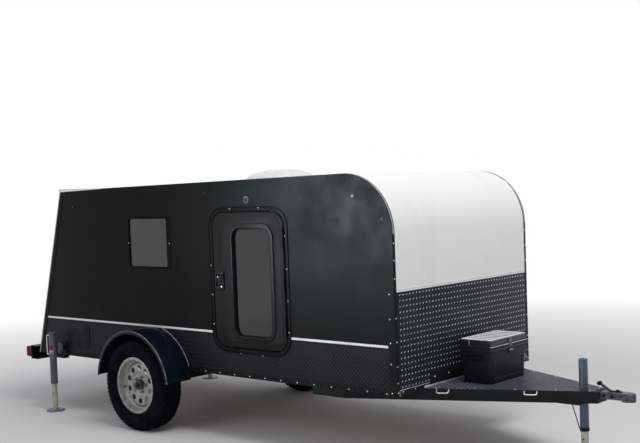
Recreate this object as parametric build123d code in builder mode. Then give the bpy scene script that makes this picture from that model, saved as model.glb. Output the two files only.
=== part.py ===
from build123d import *
import os
from math import atan, cos, degrees, radians, sin, sqrt, tan

# A small square-backed teardrop trailer, parked on its wheels, tongue jack and rear stabilizer jacks.
# +X points forward to the coupler, +Y left, +Z up. The origin is on the ground, midway between the
# trailer's foremost and rearmost points. Lengths are millimetres. "aft" is a distance behind the
# front face of the body, and "ahead" a distance in front of it.

# Body shell
body_width = 1524.0
floor_length = 3764.0
roof_length = 3370.0
skirt_z = 448.0
roof_front_z = 1808.0
roof_rear_z = 1780.0
front_radius = 373.0
wall = 38.0
floor_thickness = 18.0
guard_top_z = 1080.0
panel_gap = 0.3
roof_joint_aft = 620.0
bulkhead_aft = 2880.0
bulkhead_thickness = 18.0
sill_height = 92.0
skin = 2.0

# White strip, edge trims and access hatch on the sides
strip_z = 749.5
strip_height = 15.0
strip_thickness = 3.0
strip_front_aft = 59.0
strip_rear_aft = 3620.0
trim_width = 50.0
trim_foot = 28.0
trim_return = 25.0
trim_thickness = 3.0
access_aft = 3139.5
access_z = 610.0
access_width = 155.0
access_height = 185.0
access_radius = 20.0
access_thickness = 4.0

# Doors
door_aft = 1237.5
door_width = 757.0
door_top_drop = 187.5
door_sill_rise = 167.5
door_radius = 140.0
flange_width = 34.0
flange_thickness = 4.0
bead_width = 8.0
bead_height = 3.0
jamb = 12.0
door_gap = 5.0
pane_aft = 1204.0
pane_drop = 14.0
pane_width = 357.0
pane_end_margin = 134.0
pane_radius = 28.0
pane_thickness = 5.0
pane_setback = 13.0
ring_width = 34.0
ring_thickness = 7.0
latch_aft = 1518.0
latch_drop = 8.0
latch_width = 87.0
latch_height = 127.0
latch_depth = 10.0
latch_corner = 14.0
latch_floor = 3.0
well_border = 15.0
well_foot = 32.0
well_corner = 10.0
paddle_border = 19.0
paddle_height = 42.0
paddle_rise = 14.0
paddle_corner = 8.0

# Side windows
window_aft = 2277.0
window_drop = 410.0
window_width = 493.0
window_height = 380.0
window_radius = 18.0
window_border = 24.0
window_lip = 5.0
window_jamb = 8.0
window_setback = 8.0
pane_cover = 2.0

# Hinges: barrels of an odd number of knuckles on a pin
knuckle_radius = 6.0
pin_radius = 3.0
pin_clearance = 0.05
hinge_length = 90.0
hinge_knuckles = 3
door_hinge_knuckles = 5
knuckle_gap = 0.5
strap_width = 26.0
door_strap_width = 20.0
vent_strap_width = 14.0
hatch_hinge_spread = 0.8
small_hinge_spread = 0.3
strap_thickness = 2.0
edge_gap = 5.0

# Chassis
rail_top_z = 458.0
chassis_height = 76.0
chassis_width = 50.0
tongue_height = 71.0
tongue_width = 50.0
tongue_half_angle = 25.0
tongue_apex_ahead = 1079.0
tongue_end_ahead = 950.0
tongue_nose = 60.0
tongue_rear_aft = 470.0
deck_thickness = 3.0
deck_rear_ahead = 6.0
deck_front_ahead = 930.0
deck_stop_height = 14.0
crossmember_count = 5

# Tie-down loops on the tongue rails
loop_rod = 5.0
loop_length = 75.0
loop_stand_off = 26.0
loop_places = (110.0, 595.0)

# Coupler
coupler_tip_ahead = 1160.0
coupler_width = 76.0
coupler_height = 50.0
channel_height = 42.0
coupler_chamfer = 6.0
lever_front_setback = 55.0
lever_rear_setback = 125.0
lever_width = 26.0
lever_thickness = 6.0
grip_ahead = 958.0
grip_z = 497.0
grip_radius = 13.0
ball_radius = 25.6
ball_clearance = 0.6
socket_wall = 7.0
socket_mouth = 20.0
cup_top_radius = 14.0

# Tongue jack
jack_ahead = 828.0
jack_radius = 27.0
jack_top_z = 640.0
jack_bottom_z = 199.0
jack_cap = 10.0
jack_stud_radius = 9.0
jack_stud_height = 12.0
jack_bracket = 150.0
jack_bracket_setback = 40.0
jack_bracket_thickness = 10.0
leg_radius = 22.5
foot_radius = 75.0
foot_thickness = 8.0
leg_overlap = 120.0

# Rear stabilizer jacks
stab_aft = 3450.0
stab_side = 88.0
stab_radius = 28.5
stab_top_z = 636.0
stab_bottom_z = 222.0
stab_leg_radius = 21.0
stab_leg_overlap = 160.0
stab_cap = 6.0
stab_cap_lip = 3.0
stab_pivot_z = 512.0
stab_pivot_ahead = 27.0
stab_plate = 92.0
stab_plate_thickness = 5.0
spigot_radius = 16.0
spigot_end = 57.5
swivel_radius = 46.0
swivel_inner = 38.0
swivel_outer = 64.0
crank_top_drop = 30.0
crank_drop = 159.0
crank_reach = 34.0
crank_handle = 26.0
crank_radius = 5.0

# Axle, springs and wheels
axle_aft = 2273.0
axle_z = 335.0
axle_radius = 30.0
spring_width = 45.0
leaf_thickness = 7.0
spring_half_length = 330.0
spring_rise = 62.0
hanger_length = 40.0
tyre_radius = 335.0
tyre_width = 205.0
tyre_bead_radius = 190.5
wheel_side = 115.0
rim_width = 160.0
rim_flange_radius = 207.8
rim_lip = 6.0
rim_well_depth = 18.0
rim_well_half = 28.0
rim_wall = 6.0
disc_setback = 45.0
disc_thickness = 6.0
disc_radius = 152.0
disc_step = 13.0
disc_step_radius = 92.0
disc_seat_radius = 80.0
groove_radius = 160.0
groove_depth = 11.0
hub_radius = 38.0
hub_rise = 28.0
hub_back_radius = 46.0
cap_radius = 20.0
cap_reach = 80.0
spindle_radius = 17.0
spindle_depth = 52.0
hub_inner = 28.0
rim_hole_radius = 14.0
rim_hole_circle = 122.0
rim_hole_count = 10
lug_circle = 57.0
lug_count = 5
lug_radius = 10.0
lug_height = 16.0

# Fenders
fender_radius = 406.0
fender_width = 229.0
fender_sheet = 3.0
fender_end_z = 385.0
fender_flange = 14.0
fender_lip = 26.0
fender_flange_end_z = 484.0

# Roof vent
vent_aft = 1634.0
vent_base = 420.0
vent_opening = 356.0
vent_curb = 40.0
vent_flange = 6.0
vent_hinge_shelf = 24.0
vent_corner = 20.0
vent_liner = 6.0
vent_lid = 396.0
vent_lid_corner = 60.0
vent_lid_side = 30.0
vent_lid_top = 286.0
vent_lid_height = 84.0
vent_lid_wall = 4.0

# Tool box on the tongue deck
box_ahead = 200.0
box_length = 400.0
box_depth = 204.0
box_height = 219.0
box_wall = 5.0
box_corner = 14.0
box_flare = 15.0
box_rim = 10.0
tub_rim_height = 12.0
lid_rim_height = 19.0
lid_height = 62.0
lid_shoulder_width = 6.0
lid_draft = 2.0
lid_gap = 0.3
handle_length = 120.0
handle_height = 34.0
handle_z = 625.0
handle_depth = 6.0
catch_width = 35.0
catch_height = 55.0
catch_stand_off = 4.0
catch_depth = 18.0
hook_width = 24.0
hook_height = 28.0
hook_depth = 14.0

# Rear bumper and lamps
bumper_gap = 27.0
bumper_depth = 90.0
bumper_height = 112.0
bumper_wall = 6.0
bumper_top_z = 494.0
bumper_half_width = 775.0
bumper_arm_inset = 120.0
bumper_arm_lap = 80.0
lamp_width = 130.0
lamp_height = 93.0
lamp_corner = 10.0
lamp_edge = 4.0
lens_inset = 4.0
lamp_base = 18.0
lamp_depth = 66.0
marker_radius = 12.0
marker_depth = 16.0
marker_taper = 14.0
marker_setback = 79.0
marker_front_drop = 139.0
rear_marker_ahead = 177.0
marker_rear_drop = 134.0
porch_aft = 1230.0
porch_rise = 0.35
porch_radius = 24.0
porch_depth = 14.0

# Plates over the chassis under the guard
guard_low_z = 485.0
guard_sheet = 3.0
middle_plate_half = 430.0

# Hatch latch
rose_rise = 110.0
rose_radius = 36.0
rose_thickness = 5.0
stem_radius = 13.0
stem_length = 16.0
handle_bar_length = 96.0
handle_bar_width = 20.0
handle_bar_thickness = 9.0

# Places worked out from the sizes above
half_width = body_width / 2
rear_reach = floor_length + bumper_gap + bumper_depth + lamp_base + lamp_depth
front_x = (rear_reach - coupler_tip_ahead) / 2
rear_slope = (floor_length - roof_length) / (roof_rear_z - skirt_z)
rear_lean = degrees(atan(rear_slope))
roof_fall = (roof_front_z - roof_rear_z) / (roof_length - front_radius)
floor_z = rail_top_z + chassis_height
inner_half = half_width - wall
arc_centre_x = front_x - front_radius
arc_centre_z = roof_front_z - front_radius
deck_z = rail_top_z + deck_thickness
hatch_top_z = roof_rear_z - wall - edge_gap
hatch_bottom_z = skirt_z + sill_height + edge_gap
door_height = roof_front_z - door_top_drop - skirt_z - door_sill_rise
door_z = skirt_z + door_sill_rise + door_height / 2
pane_z = door_z - pane_drop
pane_height = door_height - 2 * pane_end_margin
latch_z = door_z - latch_drop
window_z = roof_rear_z - window_drop
opening_width = door_width - 2 * (flange_width - jamb)
opening_height = door_height - 2 * (flange_width - jamb)
opening_radius = door_radius - (flange_width - jamb)
leaf_width = door_width - 2 * flange_width - 2 * door_gap
leaf_height = door_height - 2 * flange_width - 2 * door_gap
leaf_radius = door_radius - flange_width - door_gap
door_hinge_length = leaf_height - 2 * leaf_radius
door_x = front_x - door_aft
window_x = front_x - window_aft
hinge_x = door_x + leaf_width / 2 + door_gap / 2
hinge_y = half_width + flange_thickness + knuckle_radius
axle_x = front_x - axle_aft
wheel_y = half_width + wheel_side
spindle_end_y = wheel_y - hub_inner + spindle_depth
jack_x = front_x + jack_ahead
stab_x = front_x - stab_aft
stab_y = half_width + stab_side
stab_pivot_x = stab_x + stab_pivot_ahead
box_x = front_x + box_ahead
box_rim_z = deck_z + box_height
vent_x = front_x - vent_aft
vent_z = roof_front_z - (vent_aft - front_radius) * roof_fall
coupler_ball_x = front_x + coupler_tip_ahead - ball_radius - ball_clearance - socket_wall
coupler_mouth_z = rail_top_z - coupler_height
lever_front_x = coupler_ball_x - lever_front_setback
lever_rear_x = coupler_ball_x - lever_rear_setback
grip_x = front_x + grip_ahead
coupler_ball_z = coupler_mouth_z + socket_mouth


def rear_x(z, inset=0.0):
    """X of the leaning rear face at height z, moved inwards by inset."""
    aft = floor_length - (z - skirt_z) * rear_slope
    return front_x - aft + inset * sqrt(1 + rear_slope**2)


def roof_z(aft):
    """Height of the roof's outer skin at a distance behind the front face."""
    return roof_front_z - (aft - front_radius) * roof_fall


porch_gap = roof_z(porch_aft) - trim_width - door_z - door_height / 2
porch_z = door_z + door_height / 2 + porch_rise * porch_gap
hatch_hinge_z = hatch_top_z + edge_gap / 2
hatch_hinge_x = rear_x(hatch_hinge_z, -knuckle_radius)
vent_hinge_out = vent_lid / 2 + knuckle_radius + edge_gap
vent_hinge_x = vent_x + vent_hinge_out - (vent_flange + knuckle_radius) * roof_fall
vent_hinge_z = vent_z + vent_hinge_out * roof_fall + vent_flange + knuckle_radius
box_hinge_x = box_x - box_depth / 2 - box_flare - box_rim - knuckle_radius
box_hinge_z = box_rim_z + lid_gap / 2

# Shapes shared by several pieces
os.makedirs("parts", exist_ok=True)


def save(solid, name):
    """Label a finished piece and write it to its own file."""
    solid.label = name
    export_step(solid, f"parts/{name}.step")


def save_pair(solid, name):
    """Write the right-hand piece and its mirror image on the left."""
    save(solid, f"{name}_right")
    save(mirror(solid, about=Plane.XZ), f"{name}_left")


def both_sides(solid):
    """A right-hand piece and its mirror image as one node."""
    return Compound([solid, mirror(solid, about=Plane.XZ)])


def side_plane(y):
    """A plane that faces right (-Y), at y. Its X is the trailer's X and its Y is up."""
    return Plane(origin=(0, y, 0), x_dir=(1, 0, 0), z_dir=(0, -1, 0))


def rounded_plate(plane, x, z, width, height, radius, thickness):
    """A rounded rectangle on a side plane, thickened along the plane's normal."""
    with BuildPart() as plate:
        with BuildSketch(plane):
            with Locations((x, z)):
                RectangleRounded(width, height, radius)
        extrude(amount=thickness)
    return plate.part


def rounded_ring(plane, x, z, width, height, radius, border, thickness):
    """A rounded rectangle with a border left round its opening."""
    with BuildPart() as ring:
        with BuildSketch(plane):
            with Locations((x, z)):
                RectangleRounded(width, height, radius)
                RectangleRounded(
                    width - 2 * border, height - 2 * border, max(radius - border, 1.0), mode=Mode.SUBTRACT
                )
        extrude(amount=thickness)
    return ring.part


def side_outline(plane, low_z):
    """The side's outline on a side plane, down to low_z."""
    with BuildSketch(plane) as outline:
        with BuildLine():
            Polyline(
                (arc_centre_x, roof_front_z),
                (front_x - roof_length, roof_rear_z),
                (rear_x(low_z), low_z),
                (front_x, low_z),
                (front_x, arc_centre_z),
            )
            ThreePointArc(
                (front_x, arc_centre_z),
                (arc_centre_x + front_radius * cos(radians(45)), arc_centre_z + front_radius * sin(radians(45))),
                (arc_centre_x, roof_front_z),
            )
        make_face()
    return outline.sketch


def carrier_hinge(axis, length=hinge_length, knuckles=hinge_knuckles, strap=strap_width):
    """Outer knuckles, pin and straps of a hinge. The plane's Z is the pin, its X points to the leaf
    and its Y out of the face that the straps lie on."""
    step = length / knuckles
    with BuildPart() as hinge:
        with BuildSketch(axis):
            Circle(pin_radius)
        extrude(amount=length)
        for place in range(0, knuckles, 2):
            with BuildSketch(axis.offset(place * step)):
                Circle(knuckle_radius)
                with Locations((-strap / 2, -knuckle_radius + strap_thickness / 2)):
                    Rectangle(strap, strap_thickness)
            extrude(amount=step)
    return hinge.part


def leaf_hinge(axis, length=hinge_length, knuckles=hinge_knuckles, strap=strap_width):
    """Knuckles between them on the moving side with their straps, bored for the pin."""
    step = length / knuckles
    with BuildPart() as hinge:
        for place in range(1, knuckles, 2):
            with BuildSketch(axis.offset(place * step + knuckle_gap)):
                Circle(knuckle_radius)
                with Locations((strap / 2, -knuckle_radius + strap_thickness / 2)):
                    Rectangle(strap, strap_thickness)
                Circle(pin_radius + pin_clearance, mode=Mode.SUBTRACT)
            extrude(amount=step - 2 * knuckle_gap)
    return hinge.part


def hatch_hinge_axis(share):
    """Hinge plane of the rear hatch at a share of the inner half width."""
    return Plane(
        origin=(hatch_hinge_x, share * inner_half - hinge_length / 2, hatch_hinge_z),
        x_dir=(-sin(radians(rear_lean)), 0, -cos(radians(rear_lean))),
        z_dir=(0, 1, 0),
    )


door_hinge_axis = Plane(origin=(hinge_x, -hinge_y, door_z - door_hinge_length / 2), x_dir=(-1, 0, 0), z_dir=(0, 0, 1))
vent_plane = Plane(origin=(vent_x, 0, vent_z), x_dir=(1, 0, roof_fall), z_dir=(-roof_fall, 0, 1))

# Side walls, with a smooth skin above the strip that is cut back round the door and window frames
with BuildPart() as side_wall:
    extrude(side_outline(side_plane(-half_width), skirt_z), amount=-wall)
    extrude(side_outline(side_plane(-half_width), strip_z), amount=skin)
    with BuildSketch(side_plane(-half_width)):
        with Locations((door_x, door_z)):
            RectangleRounded(door_width + 2 * panel_gap, door_height + 2 * panel_gap, door_radius + panel_gap)
        with Locations((window_x, window_z)):
            RectangleRounded(
                window_width + 2 * panel_gap, window_height + 2 * panel_gap, window_radius + window_jamb + panel_gap
            )
    extrude(amount=skin, mode=Mode.SUBTRACT)
    with BuildSketch(side_plane(-half_width)):
        with Locations((door_x, door_z)):
            RectangleRounded(opening_width, opening_height, opening_radius)
        with Locations((window_x, window_z)):
            RectangleRounded(window_width - 2 * window_border, window_height - 2 * window_border, window_radius)
    extrude(amount=-wall, mode=Mode.SUBTRACT)
save_pair(side_wall.part, "side_wall")

# Lower side plates of diamond plate, from the skirt up to the white strip, with an access hatch
with BuildPart() as lower_plate:
    with BuildSketch(side_plane(-half_width)):
        with BuildLine():
            Polyline(
                (front_x, skirt_z),
                (front_x, strip_z),
                (rear_x(strip_z), strip_z),
                (rear_x(skirt_z), skirt_z),
                close=True,
            )
        make_face()
        with Locations((door_x, door_z)):
            RectangleRounded(door_width, door_height, door_radius, mode=Mode.SUBTRACT)
    extrude(amount=skin)
    add(rounded_plate(side_plane(-half_width - skin), front_x - access_aft, access_z, access_width, access_height,
                      access_radius, access_thickness))
save(both_sides(lower_plate.part), "lower_side_plates")

# White strips, in two lengths each side of a door
door_edge_aft = (door_aft - door_width / 2, door_aft + door_width / 2)
strip_spans = ((strip_front_aft, door_edge_aft[0]), (door_edge_aft[1], strip_rear_aft))
with BuildPart() as strip:
    for front_end, rear_end in strip_spans:
        with BuildSketch(side_plane(-half_width - skin)):
            with Locations((front_x - (front_end + rear_end) / 2, strip_z)):
                Rectangle(rear_end - front_end, strip_height)
        extrude(amount=strip_thickness)
save(both_sides(strip.part), "side_strips")

# Roof panel between the side walls, with the vent's opening
with BuildPart() as roof_panel:
    with BuildSketch(side_plane(-inner_half)):
        with BuildLine():
            Polyline(
                (front_x - roof_joint_aft, roof_z(roof_joint_aft)),
                (front_x - roof_length, roof_rear_z),
                (rear_x(roof_rear_z - wall), roof_rear_z - wall),
                (front_x - roof_joint_aft, roof_z(roof_joint_aft) - wall),
                close=True,
            )
        make_face()
    extrude(amount=-2 * inner_half)
    with BuildSketch(vent_plane.offset(-2 * wall)):
        RectangleRounded(vent_opening, vent_opening, 20)
    extrude(amount=4 * wall, mode=Mode.SUBTRACT)
    for share in (-hatch_hinge_spread, hatch_hinge_spread):
        add(carrier_hinge(hatch_hinge_axis(share)))
save(roof_panel.part, "roof_panel")

# White front panel: upright below, rolled back over the round front, up to the roof joint
with BuildPart() as front_panel:
    with BuildSketch(side_plane(-inner_half)):
        with BuildLine():
            Polyline(
                (arc_centre_x, roof_front_z),
                (front_x - roof_joint_aft, roof_z(roof_joint_aft)),
                (front_x - roof_joint_aft, roof_z(roof_joint_aft) - wall),
                (arc_centre_x, roof_front_z - wall),
            )
            ThreePointArc(
                (arc_centre_x, roof_front_z - wall),
                (
                    arc_centre_x + (front_radius - wall) * cos(radians(45)),
                    arc_centre_z + (front_radius - wall) * sin(radians(45)),
                ),
                (front_x - wall, arc_centre_z),
            )
            Polyline(
                (front_x - wall, arc_centre_z),
                (front_x - wall, guard_top_z),
                (front_x, guard_top_z),
                (front_x, arc_centre_z),
            )
            ThreePointArc(
                (front_x, arc_centre_z),
                (arc_centre_x + front_radius * cos(radians(45)), arc_centre_z + front_radius * sin(radians(45))),
                (arc_centre_x, roof_front_z),
            )
        make_face()
    extrude(amount=-2 * inner_half)
save(front_panel.part, "front_panel")

# Black diamond-plate guard below it: its sheet hangs over the front cross-member, deepest in the middle
with BuildPart() as front_guard:
    with BuildSketch(Plane.XY.offset(floor_z)):
        with Locations((front_x - wall / 2, 0)):
            Rectangle(wall, 2 * inner_half)
    extrude(amount=guard_top_z - floor_z)
    with BuildSketch(Plane.YZ.offset(front_x)):
        with Locations((0, (guard_low_z + guard_top_z) / 2)):
            Rectangle(2 * inner_half, guard_top_z - guard_low_z)
        with Locations((0, (deck_z + panel_gap + guard_low_z) / 2)):
            Rectangle(2 * middle_plate_half, guard_low_z - deck_z - panel_gap)
    extrude(amount=guard_sheet)
save(front_guard.part, "front_guard")

# Floor, bulkhead and rear sill
with BuildPart() as floor_panel:
    with BuildSketch(side_plane(-inner_half)):
        with BuildLine():
            Polyline(
                (front_x - wall, floor_z),
                (front_x - wall, floor_z + floor_thickness),
                (rear_x(floor_z + floor_thickness, wall), floor_z + floor_thickness),
                (rear_x(floor_z, wall), floor_z),
                close=True,
            )
        make_face()
    extrude(amount=-2 * inner_half)
save(floor_panel.part, "floor_panel")

with BuildPart() as bulkhead:
    with BuildSketch(side_plane(-inner_half)):
        with BuildLine():
            Polyline(
                (front_x - bulkhead_aft, floor_z + floor_thickness),
                (front_x - bulkhead_aft, roof_z(bulkhead_aft) - wall),
                (front_x - bulkhead_aft - bulkhead_thickness, roof_z(bulkhead_aft + bulkhead_thickness) - wall),
                (front_x - bulkhead_aft - bulkhead_thickness, floor_z + floor_thickness),
                close=True,
            )
        make_face()
    extrude(amount=-2 * inner_half)
save(bulkhead.part, "galley_bulkhead")

with BuildPart() as rear_sill:
    with BuildSketch(side_plane(-inner_half)):
        with BuildLine():
            Polyline(
                (rear_x(rail_top_z), rail_top_z),
                (rear_x(skirt_z + sill_height), skirt_z + sill_height),
                (rear_x(skirt_z + sill_height, wall), skirt_z + sill_height),
                (rear_x(rail_top_z, wall), rail_top_z),
                close=True,
            )
        make_face()
    extrude(amount=-2 * inner_half)
save(rear_sill.part, "rear_sill")

# Rear hatch, hinged under the roof's rear edge
hatch_half = inner_half - edge_gap
with BuildPart() as hatch:
    with BuildSketch(side_plane(-hatch_half)):
        with BuildLine():
            Polyline(
                (rear_x(hatch_bottom_z), hatch_bottom_z),
                (rear_x(hatch_top_z), hatch_top_z),
                (rear_x(hatch_top_z, wall), hatch_top_z),
                (rear_x(hatch_bottom_z, wall), hatch_bottom_z),
                close=True,
            )
        make_face()
    extrude(amount=-2 * hatch_half)
    for share in (-hatch_hinge_spread, hatch_hinge_spread):
        add(leaf_hinge(hatch_hinge_axis(share)))
save(hatch.part, "rear_hatch")

# Hatch latch: a low T-handle on a round rose
latch_height_z = hatch_bottom_z + rose_rise
latch_plane = Plane(
    origin=(rear_x(latch_height_z), 0, latch_height_z),
    x_dir=(0, -1, 0),
    z_dir=(-cos(radians(rear_lean)), 0, sin(radians(rear_lean))),
)
with BuildPart() as hatch_latch:
    with BuildSketch(latch_plane):
        Circle(rose_radius)
    extrude(amount=rose_thickness)
    with BuildSketch(latch_plane.offset(rose_thickness)):
        Circle(stem_radius)
    extrude(amount=stem_length)
    with BuildSketch(latch_plane.offset(rose_thickness + stem_length)):
        SlotOverall(handle_bar_length, handle_bar_width)
    extrude(amount=handle_bar_thickness)
save(hatch_latch.part, "hatch_latch")

# Edge trims: an angle section round the outline of each side, narrower along the skirt
trim_face = side_plane(-half_width - skin)
outer_edge = side_outline(trim_face, skirt_z)
lowered_edge = side_outline(trim_face, skirt_z - trim_width + trim_foot)
inner_edge = offset(lowered_edge, amount=-trim_width, kind=Kind.INTERSECTION)
wrapped_edge = offset(outer_edge, amount=trim_thickness, kind=Kind.INTERSECTION)
with BuildPart() as edge_trim:
    with BuildSketch(trim_face):
        add(trim_face.to_local_coords(outer_edge))
        add(trim_face.to_local_coords(inner_edge), mode=Mode.SUBTRACT)
        with Locations((axle_x, axle_z)):
            Circle(fender_radius + fender_flange + panel_gap, mode=Mode.SUBTRACT)
    extrude(amount=trim_thickness)
    with BuildSketch(trim_face.offset(trim_thickness)):
        add(trim_face.to_local_coords(wrapped_edge))
        add(trim_face.to_local_coords(outer_edge), mode=Mode.SUBTRACT)
        with Locations((0, skirt_z - trim_width / 2)):
            Rectangle(2 * floor_length, trim_width, mode=Mode.SUBTRACT)
    extrude(amount=-trim_return)
save(both_sides(edge_trim.part), "edge_trims")

# Door frames: outer flange with a bead round its edge, and a jamb that lines the opening
with BuildPart() as door_frame:
    add(rounded_ring(side_plane(-half_width), door_x, door_z, door_width, door_height, door_radius,
                     flange_width, flange_thickness))
    add(rounded_ring(side_plane(-half_width - flange_thickness), door_x, door_z, door_width, door_height,
                     door_radius, bead_width, bead_height))
    add(rounded_ring(side_plane(-half_width + wall), door_x, door_z, opening_width - 2 * panel_gap,
                     opening_height - 2 * panel_gap, opening_radius - panel_gap, jamb - panel_gap, wall))
    add(carrier_hinge(door_hinge_axis, door_hinge_length, door_hinge_knuckles, door_strap_width))
save(both_sides(door_frame.part), "door_frames")

# Door leaves, with the window's opening and its raised moulding
pane_x = front_x - pane_aft
with BuildPart() as door:
    add(rounded_plate(side_plane(-half_width - flange_thickness + wall), door_x, door_z, leaf_width, leaf_height,
                      leaf_radius, wall))
    with BuildSketch(side_plane(-half_width - flange_thickness)):
        with Locations((pane_x, pane_z)):
            RectangleRounded(pane_width + 2 * ring_width, pane_height + 2 * ring_width, pane_radius + ring_width)
    extrude(amount=ring_thickness)
    with BuildSketch(side_plane(-half_width - flange_thickness - ring_thickness)):
        with Locations((pane_x, pane_z)):
            RectangleRounded(pane_width, pane_height, pane_radius)
    extrude(amount=-wall - ring_thickness, mode=Mode.SUBTRACT)
    add(leaf_hinge(door_hinge_axis, door_hinge_length, door_hinge_knuckles, door_strap_width))
save_pair(door.part, "door")

pane_plane = side_plane(-half_width - flange_thickness + pane_setback + pane_thickness)
save_pair(rounded_plate(pane_plane, pane_x, pane_z, pane_width, pane_height, pane_radius, pane_thickness),
          "door_pane")

# Paddle latches on the door leaves: a paddle in a well in a rounded plate
latch_x = front_x - latch_aft
leaf_face_y = -half_width - flange_thickness
with BuildPart() as door_latch:
    with BuildSketch(side_plane(leaf_face_y)):
        with Locations((latch_x, latch_z)):
            RectangleRounded(latch_width, latch_height, latch_corner)
    extrude(amount=latch_depth)
    with BuildSketch(side_plane(leaf_face_y - latch_depth)):
        with Locations((latch_x, latch_z + (well_foot - well_border) / 4)):
            RectangleRounded(latch_width - 2 * well_border, latch_height - well_border - well_foot, well_corner)
    extrude(amount=-latch_depth + latch_floor, mode=Mode.SUBTRACT)
    with BuildSketch(side_plane(leaf_face_y - latch_floor)):
        with Locations((latch_x, latch_z + paddle_rise)):
            RectangleRounded(latch_width - 2 * paddle_border, paddle_height, paddle_corner)
    extrude(amount=latch_depth)
save_pair(door_latch.part, "door_latch")

# Side windows
with BuildPart() as window_frame:
    add(rounded_ring(side_plane(-half_width), window_x, window_z, window_width, window_height,
                     window_radius + window_jamb, window_border + pane_cover, window_lip))
    add(rounded_ring(side_plane(-half_width + wall), window_x, window_z,
                     window_width - 2 * window_border - 2 * panel_gap,
                     window_height - 2 * window_border - 2 * panel_gap, window_radius - panel_gap,
                     window_jamb, wall))
save(both_sides(window_frame.part), "window_frames")
pane_margin = window_border + window_jamb + panel_gap + 0.2
window_pane = rounded_plate(side_plane(-half_width + window_setback), window_x, window_z,
                            window_width - 2 * pane_margin, window_height - 2 * pane_margin,
                            window_radius - window_jamb - panel_gap - 0.2, pane_thickness)
save(both_sides(window_pane), "window_panes")

# Roof vent: base with a square curb, and a low domed lid hinged at the front
vent_hinges = [
    Plane(
        origin=vent_plane.from_local_coords((vent_hinge_out, place - hinge_length / 2, vent_flange + knuckle_radius)),
        x_dir=-vent_plane.x_dir,
        z_dir=vent_plane.y_dir,
    )
    for place in (-small_hinge_spread * vent_lid, small_hinge_spread * vent_lid)
]
with BuildPart() as vent:
    with BuildSketch(vent_plane):
        with Locations((vent_hinge_shelf / 2, 0)):
            Rectangle(vent_base + vent_hinge_shelf, vent_base)
    extrude(amount=vent_flange)
    with BuildSketch(vent_plane.offset(-wall)):
        RectangleRounded(vent_opening - 2 * knuckle_gap, vent_opening - 2 * knuckle_gap, vent_corner)
    extrude(amount=wall + vent_curb)
    with BuildSketch(vent_plane.offset(-2 * wall)):
        RectangleRounded(vent_opening - 2 * vent_liner, vent_opening - 2 * vent_liner, vent_corner - vent_liner)
    extrude(amount=4 * wall, mode=Mode.SUBTRACT)
    for hinge_axis in vent_hinges:
        add(carrier_hinge(hinge_axis))
save(vent.part, "roof_vent")


def lid_section(level, width, inset=0.0):
    """One rounded square of the vent's lid at a height over the roof."""
    with BuildSketch(vent_plane.offset(level)) as section:
        RectangleRounded(width - 2 * inset, width - 2 * inset, vent_lid_corner - inset)
    return section.sketch


lid_low = vent_flange + panel_gap
lid_shoulder = vent_flange + vent_lid_side
lid_inner_top = vent_lid_height - vent_lid_wall
with BuildPart() as lid:
    extrude(lid_section(lid_low, vent_lid), amount=lid_shoulder - lid_low)
    loft([lid_section(lid_shoulder, vent_lid), lid_section(vent_lid_height, vent_lid_top)], ruled=True)
    extrude(lid_section(0, vent_lid, vent_lid_wall), amount=lid_shoulder, mode=Mode.SUBTRACT)
    loft([lid_section(lid_shoulder, vent_lid, vent_lid_wall), lid_section(lid_inner_top, vent_lid_top, vent_lid_wall)],
         ruled=True, mode=Mode.SUBTRACT)
    for hinge_axis in vent_hinges:
        add(leaf_hinge(hinge_axis, strap=vent_strap_width))
save(lid.part, "vent_lid")

# Chassis: perimeter and cross-members of rectangular tube
chassis_rear_x = rear_x(floor_z, wall)
chassis_centre_x = (front_x + chassis_rear_x) / 2
chassis_length = front_x - chassis_rear_x
member_spacing = (chassis_length - chassis_width) / (crossmember_count - 1)
with BuildPart() as chassis:
    with BuildSketch(Plane.XY.offset(rail_top_z)):
        with Locations((chassis_centre_x, 0)):
            Rectangle(chassis_length, 2 * inner_half)
            Rectangle(chassis_length - 2 * chassis_width, 2 * (inner_half - chassis_width), mode=Mode.SUBTRACT)
        with Locations((chassis_centre_x, 0)):
            with GridLocations(member_spacing, 0, crossmember_count, 1):
                Rectangle(chassis_width, 2 * inner_half - chassis_width)
    extrude(amount=chassis_height)
save(chassis.part, "chassis_frame")

# Tongue rails: an A-frame of rectangular tube under the chassis
slope = tan(radians(tongue_half_angle))
skew = tongue_width / cos(radians(tongue_half_angle))


def rail_y(ahead):
    """Half width of the A-frame's outer edges at a distance ahead of the front face."""
    return (tongue_apex_ahead - ahead) * slope


with BuildPart() as tongue:
    with BuildSketch(Plane.XY.offset(rail_top_z - tongue_height)):
        with BuildLine():
            Polyline(
                (front_x + tongue_end_ahead, -rail_y(tongue_end_ahead)),
                (front_x - tongue_rear_aft, -rail_y(-tongue_rear_aft)),
                (front_x - tongue_rear_aft, -rail_y(-tongue_rear_aft) + skew),
                (front_x + tongue_end_ahead, min(-rail_y(tongue_end_ahead) + skew, 0)),
                close=True,
            )
        make_face()
        mirror(about=Plane.XZ)
        with Locations((front_x + tongue_end_ahead - tongue_nose / 2, 0)):
            Rectangle(tongue_nose, 2 * rail_y(tongue_end_ahead))
        with Locations((front_x + chassis_width, 0)):
            Rectangle(chassis_width, 2 * rail_y(chassis_width) - skew)
    extrude(amount=tongue_height)
save(tongue.part, "tongue_rails")

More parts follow.
